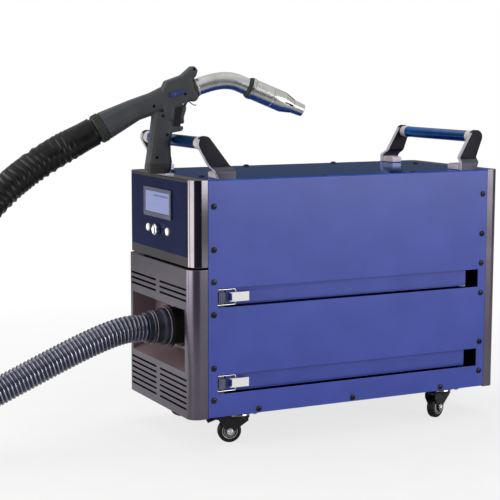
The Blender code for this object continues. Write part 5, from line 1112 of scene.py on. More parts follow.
def pocket(name, front_x, back_x, grow, look):
    rings = []
    for x, share in ((front_x, 0), (back_x, 1)):
        side = TUB_SIDE + 0.005 * share - grow
        bottom = BODY_BASE + TUB_LOW + 0.024 * share - grow
        top = BODY_BASE + TUB_HIGH - 0.005 * share + grow
        corners = ((side, bottom), (WIDTH - side, bottom), (WIDTH - side, top), (side, top))
        rings.append([spot(x, y, z) for y, z in corners])
    return skin(name, rings, None, look, smooth=False)


lower_low, lower_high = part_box("front_lower_cover")
lower = cover_shell("lower_front_cover", COVER_BACK, LOWER_FACE, lower_low.z, lower_high.z, cover_satin)
carve(lower, [pocket("tub", LOWER_FACE + WALL / 2, 0.0137, WALL, cover_satin)], "UNION")
tub_hollow = pocket("tub_hollow", LOWER_FACE - 0.004, 0.0122, 0.0, pocket_satin)
collar_drill = [(0, 0), (0, COLLAR_HOLE_R), (0.012, COLLAR_HOLE_R), (0.012, 0)]
collar_hole = turned("collar_hole", collar_drill, spot(0.009, MID, 0.234), (1, 0, 0), None, None, 64)
upper_field = louvres("upper_louvres", LOUVRE_X, BODY_BASE + 0.266, 0.0115, 3)
lower_field = louvres("lower_louvres", LOUVRE_X, BODY_BASE + 0.078, 0.012, 6)
carve(lower, [tub_hollow, collar_hole, upper_field, lower_field])
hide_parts("front_lower_cover")
print("lower cover faces:", len(lower.data.polygons))

# %% [markdown]
# A Boolean leaves long thin faces, and old corner normals would bend the light on
# them. Those normals are taken off, and a Weighted Normal modifier lets the large
# faces decide, so flat walls look flat. The pocket's inside gets the warmer
# finish by the place of its faces.

# %% Even shading of the front covers
for shell in (upper, lower):
    shell.data.attributes.remove(shell.data.attributes["custom_normal"])
    shell.data.set_sharp_from_angle(angle=math.radians(32.0))
    shell.modifiers.new("even shading", "WEIGHTED_NORMAL").keep_sharp = True
lower.data.materials.append(pocket_satin)
SLACK = 0.002
inner_faces = 0
for face in lower.data.polygons:
    x, y, z = face.center - corner
    between_sides = TUB_SIDE - SLACK < y < WIDTH - TUB_SIDE + SLACK
    in_height = BODY_BASE + TUB_LOW - SLACK < z < BODY_BASE + TUB_HIGH + SLACK
    if between_sides and in_height and x > LOWER_FACE + 0.0008:
        face.material_index = len(lower.data.materials) - 1
        inner_faces += 1
print("faces inside the pocket:", inner_faces)

# %% [markdown]
# ## Handles
#
# Each handle is an anodised tube between two moulded arms. The tube carries a
# light ferrule at each end, so it is turned from one profile that steps down
# after the ferrule, and its faces take two materials by their place along it.

# %% Handle tubes
FERRULE_LONG = 0.018
FERRULE_END = [(0, 0.0128), (0.0008, 0.0134), (FERRULE_LONG - 0.0008, 0.0134), (FERRULE_LONG, 0.0126)]
TUBE_START = (FERRULE_LONG + 0.0004, 0.0125)

for place in ("front", "rear"):
    low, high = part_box("handle_bar_" + place)
    tube_from = Vector(((low.x + high.x) / 2, low.y, (low.z + high.z) / 2))
    tube_long = high.y - low.y
    half = [*FERRULE_END, TUBE_START]
    tube_profile = [(0, 0), *half] + [(tube_long - d, r) for d, r in reversed(half)] + [(tube_long, 0)]
    tube = turned(place + "_handle_tube", tube_profile, tube_from, (0, 1, 0), "machine", tube_blue, 72)
    tube.data.materials.append(ferrule_grey)
    bare = (low.y + FERRULE_LONG + 0.0002, high.y - FERRULE_LONG - 0.0002)
    for face in tube.data.polygons:
        if not bare[0] < face.center.y < bare[1]:
            face.material_index = 1
    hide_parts("handle_bar_" + place)
print("handle tubes", round(tube_long, 3), "m long")

# %% [markdown]
# Seen from the side an arm is the shape that a string would make round the tube's
# end and the foot, so its width at each height comes from those two. The width is
# found by cutting every line between two points of the outline at that height.
# The rings of the arm are rectangles with round corners.

# %% Side view of an arm
TUBE_Z = 0.630
BOSS, FOOT_HALF, FOOT_TALL = 0.0152, 0.0195, 0.017


def arm_outline(tube_x, foot_x):
    turns = [math.radians(t) for t in range(0, 360, 6)]
    outline = [(tube_x + BOSS * math.cos(t), TUBE_Z + BOSS * math.sin(t)) for t in turns]
    for s in (-1, 1):
        tall = FOOT_TALL * (1.0 if s * (tube_x - foot_x) < 0 else 0.6)
        outline += [(foot_x + s * FOOT_HALF, BODY_TOP + h) for h in (0.0002, tall)]
    return outline


def arm_span(outline, height):
    found = []
    for i, (x0, z0) in enumerate(outline):
        for x1, z1 in outline[i + 1:]:
            if min(z0, z1) <= height <= max(z0, z1) and z0 != z1:
                found.append(x0 + (x1 - x0) * (height - z0) / (z1 - z0))
    return min(found), max(found)


def arm_ring(x, y, height, radius):
    radius = min(radius, (x[1] - x[0]) / 2.01)
    corners = (
        (x[1] - radius, y[1] - radius, 0), (x[0] + radius, y[1] - radius, 90),
        (x[0] + radius, y[0] + radius, 180), (x[1] - radius, y[0] + radius, 270),
    )
    ring = []
    for cx, cy, start in corners:
        for k in range(5):
            t = math.radians(start + 22.5 * k)
            ring.append(spot(cx + radius * math.cos(t), cy + radius * math.sin(t), height))
    return ring


print("boss of an arm", BOSS * 2000, "mm wide")

# %% [markdown]
# Near the foot the arm steps sideways to meet the tube, with a smooth start and end. The faces that look
# forward get a light grey, which is a painted highlight, and the stretch below the step gets a lighter copy
# of the arm's plastic, which is painted light, so the faces take three materials by their direction and
# height.

# %% Handle arms
ARM_THICK, STEP_ASIDE, STEP_FROM, STEP_TALL = 0.0138, 0.015, 0.0165, 0.012
HANDLES = (("front", 0.001, 0.0445), ("rear", 0.665, 0.635))
SIDES = (("near", 1), ("far", -1))


def across(low, high, inward):
    """The same stretch measured from the near or from the far side."""
    return (low, high) if inward > 0 else (WIDTH - high, WIDTH - low)


arm_heights = [BODY_TOP + 0.0003, BODY_TOP + 0.0012] + [BODY_TOP + 0.0040 * k for k in range(1, 17)]
arm_heights = [h for h in arm_heights if h < TUBE_Z - BOSS / 2]
arm_heights += [TUBE_Z + BOSS * math.sin(math.radians(t)) for t in range(-30, 90, 6)]
arm_heights.append(TUBE_Z + BOSS - 0.00008)
for place, tube_x, foot_x in HANDLES:
    side_view = arm_outline(tube_x, foot_x)
    for side, inward in SIDES:
        rings = []
        for height in arm_heights:
            rise = min(max((height - BODY_TOP - STEP_FROM) / STEP_TALL, 0.0), 1.0)
            aside = STEP_ASIDE * (3 * rise ** 2 - 2 * rise ** 3) + 0.0002
            y = across(aside, aside + ARM_THICK, inward)
            rings.append(arm_ring(arm_span(side_view, height), y, height, 0.0022))
        arm = skin("%s_arm_%s" % (place, side), rings, "machine", arm_plastic, angle=50.0)
        arm.data.materials.append(edge_highlight_and_hub_grey)
        arm.data.materials.append(arm_below_step_lit)
        # Forward faces get the painted highlight, and faces below the step get the painted light.
        for face in arm.data.polygons:
            if face.normal.x < -0.75 and face.normal.z < 0.6:
                face.material_index = 1
            elif face.center.z < BODY_TOP + 0.0250:
                face.material_index = 2
        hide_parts("handle_arm_%s_%s" % (place, side))
print("rings in an arm:", len(arm_heights))

# %% [markdown]
# A lighter block lies inside each foot and holds the arm to the top. Five thin
# ribs cross it. They are short tubes that sink halfway into the block.

# %% Foot blocks
BLOCK_Y, BLOCK_TALL = (0.0145, 0.0560), 0.0125
RIB_APART, RIB_R = 0.007, 0.0011

for place, tube_x, foot_x in HANDLES:
    for side, inward in SIDES:
        x, y = (foot_x - FOOT_HALF, foot_x + 0.0060), across(*BLOCK_Y, inward)
        z = (BODY_TOP + 0.0002, BODY_TOP + BLOCK_TALL)
        box("%s_foot_%s" % (place, side), x, y, z, "machine", ferrule_grey, 0.0016)
        ribs = []
        for k in range(1, 6):
            rib_y, rib_z = y[0] + RIB_APART * k, BODY_TOP + BLOCK_TALL + 0.0003
            rib = [spot(x[0] - 0.0002, rib_y, rib_z), spot(x[1] - 0.002, rib_y, rib_z)]
            ribs.append(ring_faces(swept(rib, [RIB_R] * 2, 10)))
        merge("%s_foot_ribs_%s" % (place, side), ribs, "machine", ferrule_grey)
print("foot blocks:", len(HANDLES) * len(SIDES))

# %% [markdown]
# ## Casters
#
# A swivel caster is a pressed plate with four bolts, a ball race, a fork and a
# wheel on an axle. Every caster points its own way, so each part is made in the
# caster's own frame and carried there by its matrix: the pivot is the middle of
# the plate, and the wheel trails behind it.

# %% Where the casters are
CASTER_TURN = {"front_near": 164.0, "rear_near": 205.0, "front_far": 190.0, "rear_far": 172.0}
WHEEL_R, TRAIL = 0.025, 0.020


def caster_frame(place):
    low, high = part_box("caster_plate_" + place)
    pivot = Vector(((low.x + high.x) / 2, (low.y + high.y) / 2, 0))
    return Matrix.Translation(pivot) @ Matrix.Rotation(math.radians(CASTER_TURN[place]), 4, "Z")


def hub_and_axle(place):
    own = caster_frame(place)
    return own @ Vector((TRAIL, 0, WHEEL_R)), own.to_3x3() @ Vector((0, 1, 0))


for place in CASTER_TURN:
    print(place, "hub at", [round(v, 3) for v in hub_and_axle(place)[0]])

# %% [markdown]
# The wheel is one turned profile with a dished hub, a tread and a thin parting ridge. Half of the profile is
# written down and the other half is its mirror. The hub's ring is grey, which is a band of faces at one
# distance from the axle, and a raised rim lies in each side of the tyre, whose light finish is a painted
# highlight that runs round it.

# %% Wheels and rims
HALF_TREAD = [
    (-0.009, 0.0046), (-0.009, 0.0098), (-0.0078, 0.0104), (-0.0066, 0.0128), (-0.0072, 0.0150),
    (-0.0088, 0.0166), (-0.009, 0.0200), (-0.0086, 0.0222), (-0.0070, 0.0240), (-0.0046, 0.02495),
    (-0.0002, WHEEL_R),
]
RIM = [(0.0084, 0.0148), (0.0092, 0.0151), (0.0095, 0.0157), (0.0092, 0.0163), (0.0084, 0.0166)]
GREY_HUB = (0.0100, 0.0138)

tread = HALF_TREAD + [(-d, r) for d, r in reversed(HALF_TREAD)]
for place in CASTER_TURN:
    hub, axle = hub_and_axle(place)
    wheel = turned("wheel_" + place, tread, hub, axle, "wheel_" + place, tyre_black, 64, True)
    wheel.data.materials.append(edge_highlight_and_hub_grey)
    for face in wheel.data.polygons:
        from_hub = face.center - hub
        if GREY_HUB[0] < (from_hub - axle * from_hub.dot(axle)).length < GREY_HUB[1]:
            face.material_index = 1
    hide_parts("caster_wheel_" + place)
    rims = [ring_faces(turned_rings(RIM, hub, axle * sign, 48), True) for sign in (-1, 1)]
    # The rims' light finish is a painted highlight round each side of the tyre.
    merge("wheel_rims_" + place, rims, "wheel_" + place, ferrule_grey)
print("wheels:", len(CASTER_TURN), "with", len(tread), "points in the profile")

# %% [markdown]
# The fork and the plate are pressed steel in black, so soft copies of their
# solids do. The axle nut on each side is what shines first from the side, and the
# ball race shows as a bright ring between plate and fork. Four bolts hold the
# plate; they use the screw from above, upside down.

# %% Forks, nuts, plates and races
NUT = [
    (0, 0.0), (0, 0.0072), (0.0006, 0.0075), (0.0012, 0.0072), (0.0012, 0.0052),
    (0.0038, 0.0050), (0.0042, 0.0044), (0.0042, 0.0),
]
RACE = [(0, 0.0232), (0, 0.0248), (0.0012, 0.0256), (0.0030, 0.0252), (0.0038, 0.0240), (0.0038, 0.0232)]
BOLT_APART, RACE_Z, FORK_HALF = 0.0255, 0.0598, 0.0138

for place in CASTER_TURN:
    hub, axle = hub_and_axle(place)
    pivot = caster_frame(place).translation
    soft_copy("caster_fork_" + place, black_plastic, 0.0006, 2, 40.0)
    nuts = [ring_faces(turned_rings(NUT, hub + axle * s * FORK_HALF, axle * s, 24)) for s in (-1, 1)]
    merge("axle_nuts_" + place, nuts, "caster_" + place, chrome, angle=32.0)
    soft_copy("caster_plate_" + place, black_plastic, 0.0005, 2, 50.0)
    bolt_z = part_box("caster_plate_" + place)[1].z - 0.00255
    bolts = []
    for i, j in ((-1, -1), (-1, 1), (1, -1), (1, 1)):
        bolt = pivot + Vector((i * BOLT_APART, j * BOLT_APART, bolt_z))
        bolts.append(screw_shape(bolt, (0, 0, -1), 0.0048, 0.0034, 0.0019))
    merge("plate_bolts_" + place, bolts, "machine", chrome, angle=32.0)
    race_at = pivot + Vector((0, 0, RACE_Z))
    turned("race_ring_" + place, RACE, race_at, (0, 0, 1), "machine", chrome, 48, True)
print("forks and plates dressed:", len(CASTER_TURN))

# %% [markdown]
# The two front casters have a brake pedal over the wheel. Four ribs on its sloping
# end keep a shoe from slipping.

# %% Brake pedals
PEDAL_RIBS, PEDAL_X, PEDAL_Z, PEDAL_HALF = 4, 0.0525, 0.0550, 0.0085
PEDAL_RIB_APART, PEDAL_SLOPE = 0.0036, 0.0075 / 0.017

for place in ("front_near", "front_far"):
    own = caster_frame(place)
    soft_copy("brake_pedal_" + place, black_plastic, 0.0008, 3, 30.0)
    ribs = []
    for k in range(PEDAL_RIBS):
        out = k * PEDAL_RIB_APART
        z = PEDAL_Z - (0.0025 + out) * PEDAL_SLOPE
        rib = [own @ Vector((PEDAL_X + out, y, z)) for y in (-PEDAL_HALF, PEDAL_HALF)]
        ribs.append(ring_faces(swept(rib, [0.0007, 0.0007], 8)))
    merge("pedal_ribs_" + place, ribs, body_by_node["brake_pedal_" + place], black_plastic)
print("ribs on a pedal:", PEDAL_RIBS)

# %% [markdown]
# ## Trays and draw latches
#
# The two trays close the long slots with a folded bar whose lower edge is rolled
# inwards. The roll is a thin tube along the tray. A draw latch holds each tray: a
# wire loop hooks behind a ribbed catch and a flat lever pulls it tight.

# %% Trays and rolls
TRAYS = (("upper", "filter_tray", "filter_drawer"), ("lower", "dust_tray", "dust_drawer"))
LEVER_OVER_SLOT, ROLL_OVER_SLOT, ROLL_R = 0.01975, 0.0074, 0.0026


def latch_middle(place):
    low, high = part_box("latch_lever_" + place)
    return (low.z + high.z) / 2


for place, tray, drawer in TRAYS:
    soft_copy(tray, paint_blue, 0.0004, 2, 60.0)
    soft_copy("latch_catch_" + place, catch_grey, 0.0003, 2, 20.0)
    # The lever's white finish is a painted highlight of its chrome.
    soft_copy("latch_lever_" + place, lever_white_highlight, 0.0006, 3, 40.0)
    roll_z = latch_middle(place) - LEVER_OVER_SLOT + ROLL_OVER_SLOT
    roll = [spot(x, 0.0175, roll_z) for x in (0.0458, 0.32, 0.6408)]
    skin(place + "_tray_roll", swept(roll, [ROLL_R] * 3, 20), drawer, paint_blue)
print("trays dressed:", len(TRAYS))

# %% [markdown]
# The loop is bent wire: a rectangle with round corners in the plane of the panel,
# followed by a round section. A short black block on the tray shows inside it.

# %% Latch loops
LOOP_PIN_X, LOOP_HOOK_X, LOOP_HALF, LOOP_Y = 0.0655, 0.0230, 0.0160, 0.0088
WIRE_R = 0.0013
BEND_R = WIRE_R * 2.5


def wire_loop(middle_z):
    bends = (
        (LOOP_PIN_X - BEND_R, LOOP_HALF - BEND_R), (LOOP_HOOK_X + BEND_R, LOOP_HALF - BEND_R),
        (LOOP_HOOK_X + BEND_R, BEND_R - LOOP_HALF), (LOOP_PIN_X - BEND_R, BEND_R - LOOP_HALF),
    )
    path = []
    for quarter, (x, z) in enumerate(bends):
        for i in range(9):
            t = math.radians(90 * (quarter + i / 8))
            path.append(spot(x + BEND_R * math.cos(t), LOOP_Y, middle_z + z + BEND_R * math.sin(t)))
    sections = []
    for i, centre in enumerate(path):
        along = (path[(i + 1) % len(path)] - path[i - 1]).normalized()
        side = Vector((0, 1, 0))
        sections.append(circle(centre, WIRE_R, side, along.cross(side), 14))
    return sections


for place, tray, drawer in TRAYS:
    middle_z = latch_middle(place)
    bail = skin("latch_loop_" + place, wire_loop(middle_z), "bail_" + place, chrome, closed=True)
    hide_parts("latch_bail_" + place)
    block_z = (middle_z - 0.0085, middle_z + 0.0085)
    box("latch_block_" + place, (0.0420, 0.0462), (0.0080, 0.0139), block_z, drawer, black_plastic, 0.0008)
print("wire of a loop", WIRE_R * 2000, "mm thick")

# %% [markdown]
# ## Display and controls
#
# A navy film covers the flat of the upper cover and carries the display's frame.
# The film's solid is as wide as the old flat; the corners are rounder here, so the
# copy's points are kept between them.

# %% Fascia and display frame
FILM_FROM_CORNER = 0.0006
film_near, film_far = corner.y + CORNER + FILM_FROM_CORNER, corner.y + WIDTH - CORNER - FILM_FROM_CORNER
fascia = soft_copy("fascia_overlay", fascia_film, 0.0002, 1, 50.0)
for vertex in fascia.data.vertices:
    vertex.co.y = min(max(vertex.co.y, film_near), film_far)
soft_copy("display_bezel", bezel_grey, 0.0011, 3, 40.0)
dress(black_plastic, "display_window")
print("film", round(film_far - film_near, 3), "m wide")

# %% [markdown]
# The display's glass is a pale lit blue with a faint grid of character cells. A
# Brick Texture without offset gives such a grid in real sizes, once its
# coordinates are turned to lie in the plane of the front. The glass glows a
# little, as a lit display does.

# %% Display
GLOW = 0.14
CELL_WIDE, CELL_TALL, CELL_LINE = 0.0060, 0.0098, 0.0007
display_look = bpy.data.materials.new("lit display")
display_look.use_nodes = True
display_tree = display_look.node_tree
display_shader = display_tree.nodes["Principled BSDF"]
display_shader.inputs["Roughness"].default_value = 0.14
display_shader.inputs["Emission Strength"].default_value = GLOW
laid = node(display_tree, "Mapping", Rotation=(math.radians(90), 0, math.radians(90)))
grid = node(
    display_tree, "TexBrick", Scale=1.0, Brick_Width=CELL_WIDE, Row_Height=CELL_TALL,
    Mortar_Size=CELL_LINE, Mortar_Smooth=0.6, Color1=(0.185, 0.222, 0.395, 1),
    Color2=(0.200, 0.236, 0.410, 1), Mortar=(0.212, 0.250, 0.430, 1))
grid.offset = 0.0
grid.squash = 1.0
display_tree.links.new(node(display_tree, "TexCoord").outputs["Object"], laid.inputs["Vector"])
display_tree.links.new(laid.outputs["Vector"], grid.inputs["Vector"])
for socket in ("Base Color", "Emission Color"):
    display_tree.links.new(grid.outputs["Color"], display_shader.inputs[socket])

glass_x = view_low.x - corner.x - 0.0002
glass_z = (BODY_BASE + 0.4100, BODY_BASE + 0.4540)
glass_y = (0.1066, 0.2334)
box("display_glass", (glass_x - 0.0003, glass_x), glass_y, glass_z, "machine", display_look, 0.0001)
row_look = finish_look(
    "dark display row", (0.105, 0.120, 0.330), (0.125, 0.140, 0.370), (0.16, 0.22), grain=900, bump=0.02)
row_x, row_z = (glass_x - 0.00045, glass_x - 0.0003), (BODY_BASE + 0.4440, BODY_BASE + 0.4480)
box("display_row", row_x, (0.1120, 0.1880), row_z, "machine", row_look)
print("display", round(glass_y[1] - glass_y[0], 3), "by", round(glass_z[1] - glass_z[0], 3), "m")

# %% [markdown]
# Small moulded parts have no sharp corner anywhere. `softened` puts a small arc at
# every inner corner of a profile before it is turned, which costs fewer faces than
# a bevel of the whole mesh.

# %% Rounded profiles
def softened(profile, radius, steps=3):
    points = [Vector(p) for p in profile]
    out = [points[0]]
    for a, b, c in zip(points, points[1:], points[2:]):
        reach = min(radius, (a - b).length * 0.45, (c - b).length * 0.45)
        if b.y <= 0 or reach <= 0:
            out.append(b)
            continue
        start, end = b + (a - b).normalized() * reach, b + (c - b).normalized() * reach
        for i in range(steps + 1):
            t = i / steps
            out.append(start * (1 - t) ** 2 + b * 2 * t * (1 - t) + end * t ** 2)
    out.append(points[-1])
    return [tuple(p) for p in out]


print("points of a softened square corner:", len(softened([(0, 0), (0, 1), (1, 1)], 0.1)))

# %% [markdown]
# Two white push buttons stand below the display. Each is a turned profile with a
# slightly hollow crown, and a black ring in the cover guides it. The button rides
# on its own body, so it can be pressed.

# %% Push buttons
BUTTON_CAP = [
    (0.0004, 0), (0.0004, 0.0040), (0.0, 0.0062), (0.0003, 0.0072), (0.0011, 0.0079), (0.0060, 0.0080),
]
GUIDE = [(0, 0.0087), (0, 0.0104), (-0.0007, 0.0100), (-0.0009, 0.0093), (-0.0007, 0.0087)]


def front_of(node_name):
    """The middle of a node's front face, and how deep the node is."""
    low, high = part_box(node_name)
    return Vector((low.x, (low.y + high.y) / 2, (low.z + high.z) / 2)), high.x - low.x


for side in ("near", "far"):
    centre, deep = front_of("button_" + side)
    shaft = [(deep - 0.0105, 0.0080), (deep - 0.0100, 0.0060), (deep - 0.0004, 0.0060)]
    shaft += [(deep, 0.0056), (deep, 0)]
    profile = softened(BUTTON_CAP + shaft, 0.0003)
    button = turned("push_button_" + side, profile, centre, (1, 0, 0), "button_" + side, button_white, 48)
    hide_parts("button_" + side)
    guide_at = Vector((corner.x - 0.0373, centre.y, centre.z))
    turned("button_ring_" + side, GUIDE, guide_at, (1, 0, 0), "machine", black_plastic, 48, True)
print("points in a button's profile:", len(profile))

# %% [markdown]
# The knob is chrome with a dished face. Fine ribs round its edge give grip, and a
# short black mark on its face shows how far it is turned. All of them ride on the
# knob's body and turn with it.

# %% Knob
KNURLS, KNOB_R = 40, 0.0120
DIAL = [
    (0.0016, 0), (0.0014, 0.0050), (0.0006, 0.0086), (0.0, 0.0098), (0.0003, 0.0110), (0.0014, 0.0119),
    (0.0026, KNOB_R), (0.0090, KNOB_R), (0.0102, 0.0116), (0.0105, 0.0104), (0.0105, 0.0030),
]
centre, deep = front_of("control_knob")
dial = DIAL + [(deep, 0.0030), (deep, 0)]
knob = turned("control_knob_chrome", dial, centre, (1, 0, 0), "knob", chrome, 72)
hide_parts("control_knob")
mark = [centre + Vector((0.0006, 0, z)) for z in (0.0062, 0.0092)]
skin("knob_mark", swept(mark, [0.0006, 0.0006], 10), "knob", black_plastic)
knurls = []
for i in range(KNURLS):
    t = 2 * math.pi * i / KNURLS
    base = centre + Vector((0, math.cos(t), math.sin(t))) * (KNOB_R - 0.0001)
    ridge = [base + Vector((x, 0, 0)) for x in (0.0032, 0.0088)]
    knurls.append(ring_faces(swept(ridge, [0.0004, 0.0004], 6)))
merge("knob_knurls", knurls, "knob", chrome)
print("knob", KNOB_R * 2000, "mm wide with", KNURLS, "ribs")

# %% [markdown]
# ## Inlet collar and cuff
#
# The cuff is soft rubber pushed into a hard collar in the front wall. It is one turned profile, from its bore
# behind the wall over the flange and the grip to its outer lip. Two ring edges carry a painted highlight in a
# pale finish; each is a thin turned band of its own, so that it can have its own finish.

# %% Collar and cuff
CUFF_BORE, FLANGE_BACK = 0.025, -0.0193
CUFF_PROFILE = [
    (FLANGE_BACK + 0.024, CUFF_BORE), (FLANGE_BACK + 0.024, 0.0342), (FLANGE_BACK, 0.0344),
    (FLANGE_BACK, 0.0404), (FLANGE_BACK - 0.0020, 0.0408), (FLANGE_BACK - 0.0036, 0.0398),
    (-0.0310, 0.0396), (-0.0324, 0.0390), (-0.0365, 0.0352), (-0.0372, 0.0348), (-0.0525, 0.0347),
    (-0.0532, 0.0359), (-0.0545, 0.0361), (-0.0575, 0.0358), (-0.0582, 0.0334), (-0.0590, 0.0326),
    (-0.0692, 0.0324), (-0.0700, 0.0316), (-0.0700, 0.0262), (-0.0690, CUFF_BORE),
]
HIGHLIT_EDGES = (("cuff_edge_inner", FLANGE_BACK - 0.0042, 0.0398), ("cuff_edge_outer", -0.0527, 0.0356))
BAND = ((-0.0007, -0.0012), (-0.0006, 0.0003), (0, 0.0006), (0.0006, 0.0003), (0.0007, -0.0012))

dress(black_plastic, "inlet_collar")
mouth = spot(0, MID, MOUTH_Z)
cuff = turned("rubber_cuff", CUFF_PROFILE, mouth, (1, 0, 0), "machine", cuff_navy, 80, True)
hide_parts("hose_cuff")
# Each pale band is a painted highlight on a ring edge of the cuff.
for name, at, radius in HIGHLIT_EDGES:
    band = [(at + along, radius + out) for along, out in BAND]
    turned(name, band, mouth, (1, 0, 0), "machine", cuff_edge_highlight, 80, True)
print("points in the cuff's profile:", len(CUFF_PROFILE))

# %% [markdown]
# ## The torch handle
#
# The handle is a moulded shell that swells and thins like a hand tool. A voxel
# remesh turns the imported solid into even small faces, and smoothing then rounds
# every edge the way a mould does. Before that, a small wedge is joined on behind
# the horn, where the moulded handle is full and the solid has a notch.

# %% Remeshed handle
VOXEL = 0.0012
CREST = (
    (0.018, 0.118), (0.0335, 0.118), (0.0335, 0.1305), (0.0372, 0.1325), (0.0362, 0.1470), (0.0240, 0.1470),
)
handle = soft_copy("torch_body", torch_grey, 0.0008, 2, 40.0)
apply_all(handle)
crest_rings = [[on_torch(u, side, w) for u, w in CREST] for side in (-0.0085, 0.0085)]
carve(handle, [skin("crest_fill", crest_rings, None, torch_grey, smooth=False)], "UNION")
remesh = handle.modifiers.new("even", "REMESH")
remesh.mode = "VOXEL"
remesh.voxel_size = VOXEL
remesh.use_smooth_shade = True
ease = handle.modifiers.new("ease", "SMOOTH")
ease.factor = 0.5
ease.iterations = 5
bpy.context.view_layer.update()
apply_all(handle)
print("handle faces:", len(handle.data.polygons))

# %% [markdown]
# The two half shells meet in a fine groove, and the butt is a cap of its own. The
# mesh is cut along those lines with planes, three close together, and the middle
# cut is pressed in a little. The faces below the lower cut get the darker cap.

# %% Seams of the handle
CAP_W, CAP_U = -0.047, -0.01


def groove(obj, point, way, width, depth, keep=None):
    work = bmesh.new()
    work.from_mesh(obj.data)
    for shift in (-width, 0.0, width):
        everything = work.verts[:] + work.edges[:] + work.faces[:]
        at = point + way * shift
        bmesh.ops.bisect_plane(work, geom=everything, dist=0.00004, plane_co=at, plane_no=way)
    work.normal_update()
    for vert in work.verts:
        on_line = abs((vert.co - point).dot(way)) < 0.00006
        if on_line and (keep is None or keep(vert.co)):
            vert.co -= vert.normal * depth
    work.to_mesh(obj.data)
    work.free()


def on_butt(co):
    return (to_torch @ co).x < CAP_U


groove(handle, on_torch(0, 0, 0), torch_way(0, 1, 0), 0.0005, 0.0006)
groove(handle, on_torch(0, 0, CAP_W), torch_way(0, 0, 1), 0.0006, 0.0007, on_butt)
handle.data.materials.append(torch_dark)
for face in handle.data.polygons:
    place = to_torch @ face.center
    if place.z < CAP_W and place.x < CAP_U:
        face.material_index = 1
handle.data.shade_smooth()
print("handle faces with seams:", len(handle.data.polygons))

# %% [markdown]
# The halves are held by screws sunk in round pockets on the near side. A ray from
# the side finds the skin at each screw, so that the pocket is as deep there as
# everywhere else, and a Boolean cuts all pockets at once.

# %% Screw pockets on the torch
LARGE, SMALL = 0.0034, 0.0028
POCKET_LONG, POCKET_OUT, SCREW_IN = 0.0055, 0.0025, 0.0029
TORCH_SCREWS = (
    (-0.035, 0.052, LARGE), (-0.026, 0.013, LARGE), (-0.048, -0.034, LARGE), (-0.054, 0.072, LARGE),
    (0.012, 0.097, SMALL), (0.011, 0.075, SMALL), (0.031, 0.148, SMALL),
)
inward = torch_way(0, 1, 0)
pockets, sunk = [], []
for u, w, radius in TORCH_SCREWS:
    found, place, _, _ = handle.ray_cast(on_torch(u, -0.08, w), inward)
    if not found:
        continue
    drill = [(0, 0), (0, radius), (POCKET_LONG, radius), (POCKET_LONG, 0)]
    pockets.append(turned("pocket_cut", drill, place - inward * POCKET_OUT, inward, None, None, 32))
    sunk.append(screw_shape(place + inward * SCREW_IN, -inward, radius * 0.82, 0.0016, radius * 0.40))
carve(handle, [joined("pockets_cut", pockets)])
merge("torch_screws", sunk, "machine", screw_black, angle=32.0)
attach(handle, "machine")
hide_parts("torch_body")
print("torch screws:", len(sunk))

# %% [markdown]
# ## Trigger, lever and hook
#
# The trigger is a blade with a hooked, finger-shaped outline. The outline is
# written as a few corners and drawn as a smooth curve: between the middles of two
# sides it follows a quadratic arc that bends towards their common corner. Six
# copies of it, a little smaller at the faces, make the blade with soft edges.

# %% Trigger
BLADE = (
    (0.0008, 0.0362), (0.0060, 0.0345), (0.0105, 0.0352), (0.0128, 0.0380), (0.0118, 0.0440),
    (0.0122, 0.0500), (0.0150, 0.0580), (0.0172, 0.0660), (0.0165, 0.0740), (0.0130, 0.0800),
    (0.0045, 0.0800), (-0.0040, 0.0740), (-0.0070, 0.0620), (-0.0065, 0.0520), (-0.0030, 0.0430),
)
BLADE_MIDDLE, BLADE_HALF = (0.0040, 0.0570), (0.012, 0.022)
BLADE_RINGS = (
    (-0.0060, 0.0010), (-0.0056, 0.0003), (-0.0048, 0.0), (0.0048, 0.0), (0.0056, 0.0003), (0.0060, 0.0010),
)


def rounded(corners):
    curve = []
    for i, here in enumerate(corners):
        before, after = corners[i - 1], corners[(i + 1) % len(corners)]
        a = [(b + h) / 2 for b, h in zip(before, here)]
        c = [(h + n) / 2 for h, n in zip(here, after)]
        for t in (0.0, 0.25, 0.5, 0.75):
            curve.append([(1 - t) ** 2 * p + 2 * t * (1 - t) * h + t * t * q for p, h, q in zip(a, here, c)])
    return curve


blade = rounded(BLADE)
rings = []
for side, inset in BLADE_RINGS:
    ring = []
    for u, w in blade:
        u += (BLADE_MIDDLE[0] - u) * inset / BLADE_HALF[0]
        w += (BLADE_MIDDLE[1] - w) * inset / BLADE_HALF[1]
        ring.append(on_torch(u, side, w))
    rings.append(ring)
trigger = skin("trigger_blade", rings, "trigger", torch_grey, angle=40.0)
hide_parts("torch_trigger")
print("points in the trigger's outline:", len(blade))

# %% [markdown]
# Two thin black cheek plates stand beside the blade and close its slot to the
# eye. They are part of the handle and stay where they are when the trigger moves.
# Its pin shows as a bright dot on each side, and a bent wire hook shines in front.

# %% Cheeks, pin and hook
CHEEK = (
    (-0.0180, 0.0285), (0.0030, 0.0285), (0.0048, 0.0390), (0.0052, 0.0500), (0.0074, 0.0600),
    (0.0085, 0.0840), (-0.0180, 0.0840),
)
PIN_LONG, PIN_R, HOOK_WIRE_R = 0.0408, 0.0020, 0.0012
HOOK = ((0.018, 0.084), (0.023, 0.0815), (0.029, 0.0770), (0.034, 0.0736), (0.0375, 0.0734), (0.0388, 0.0750))

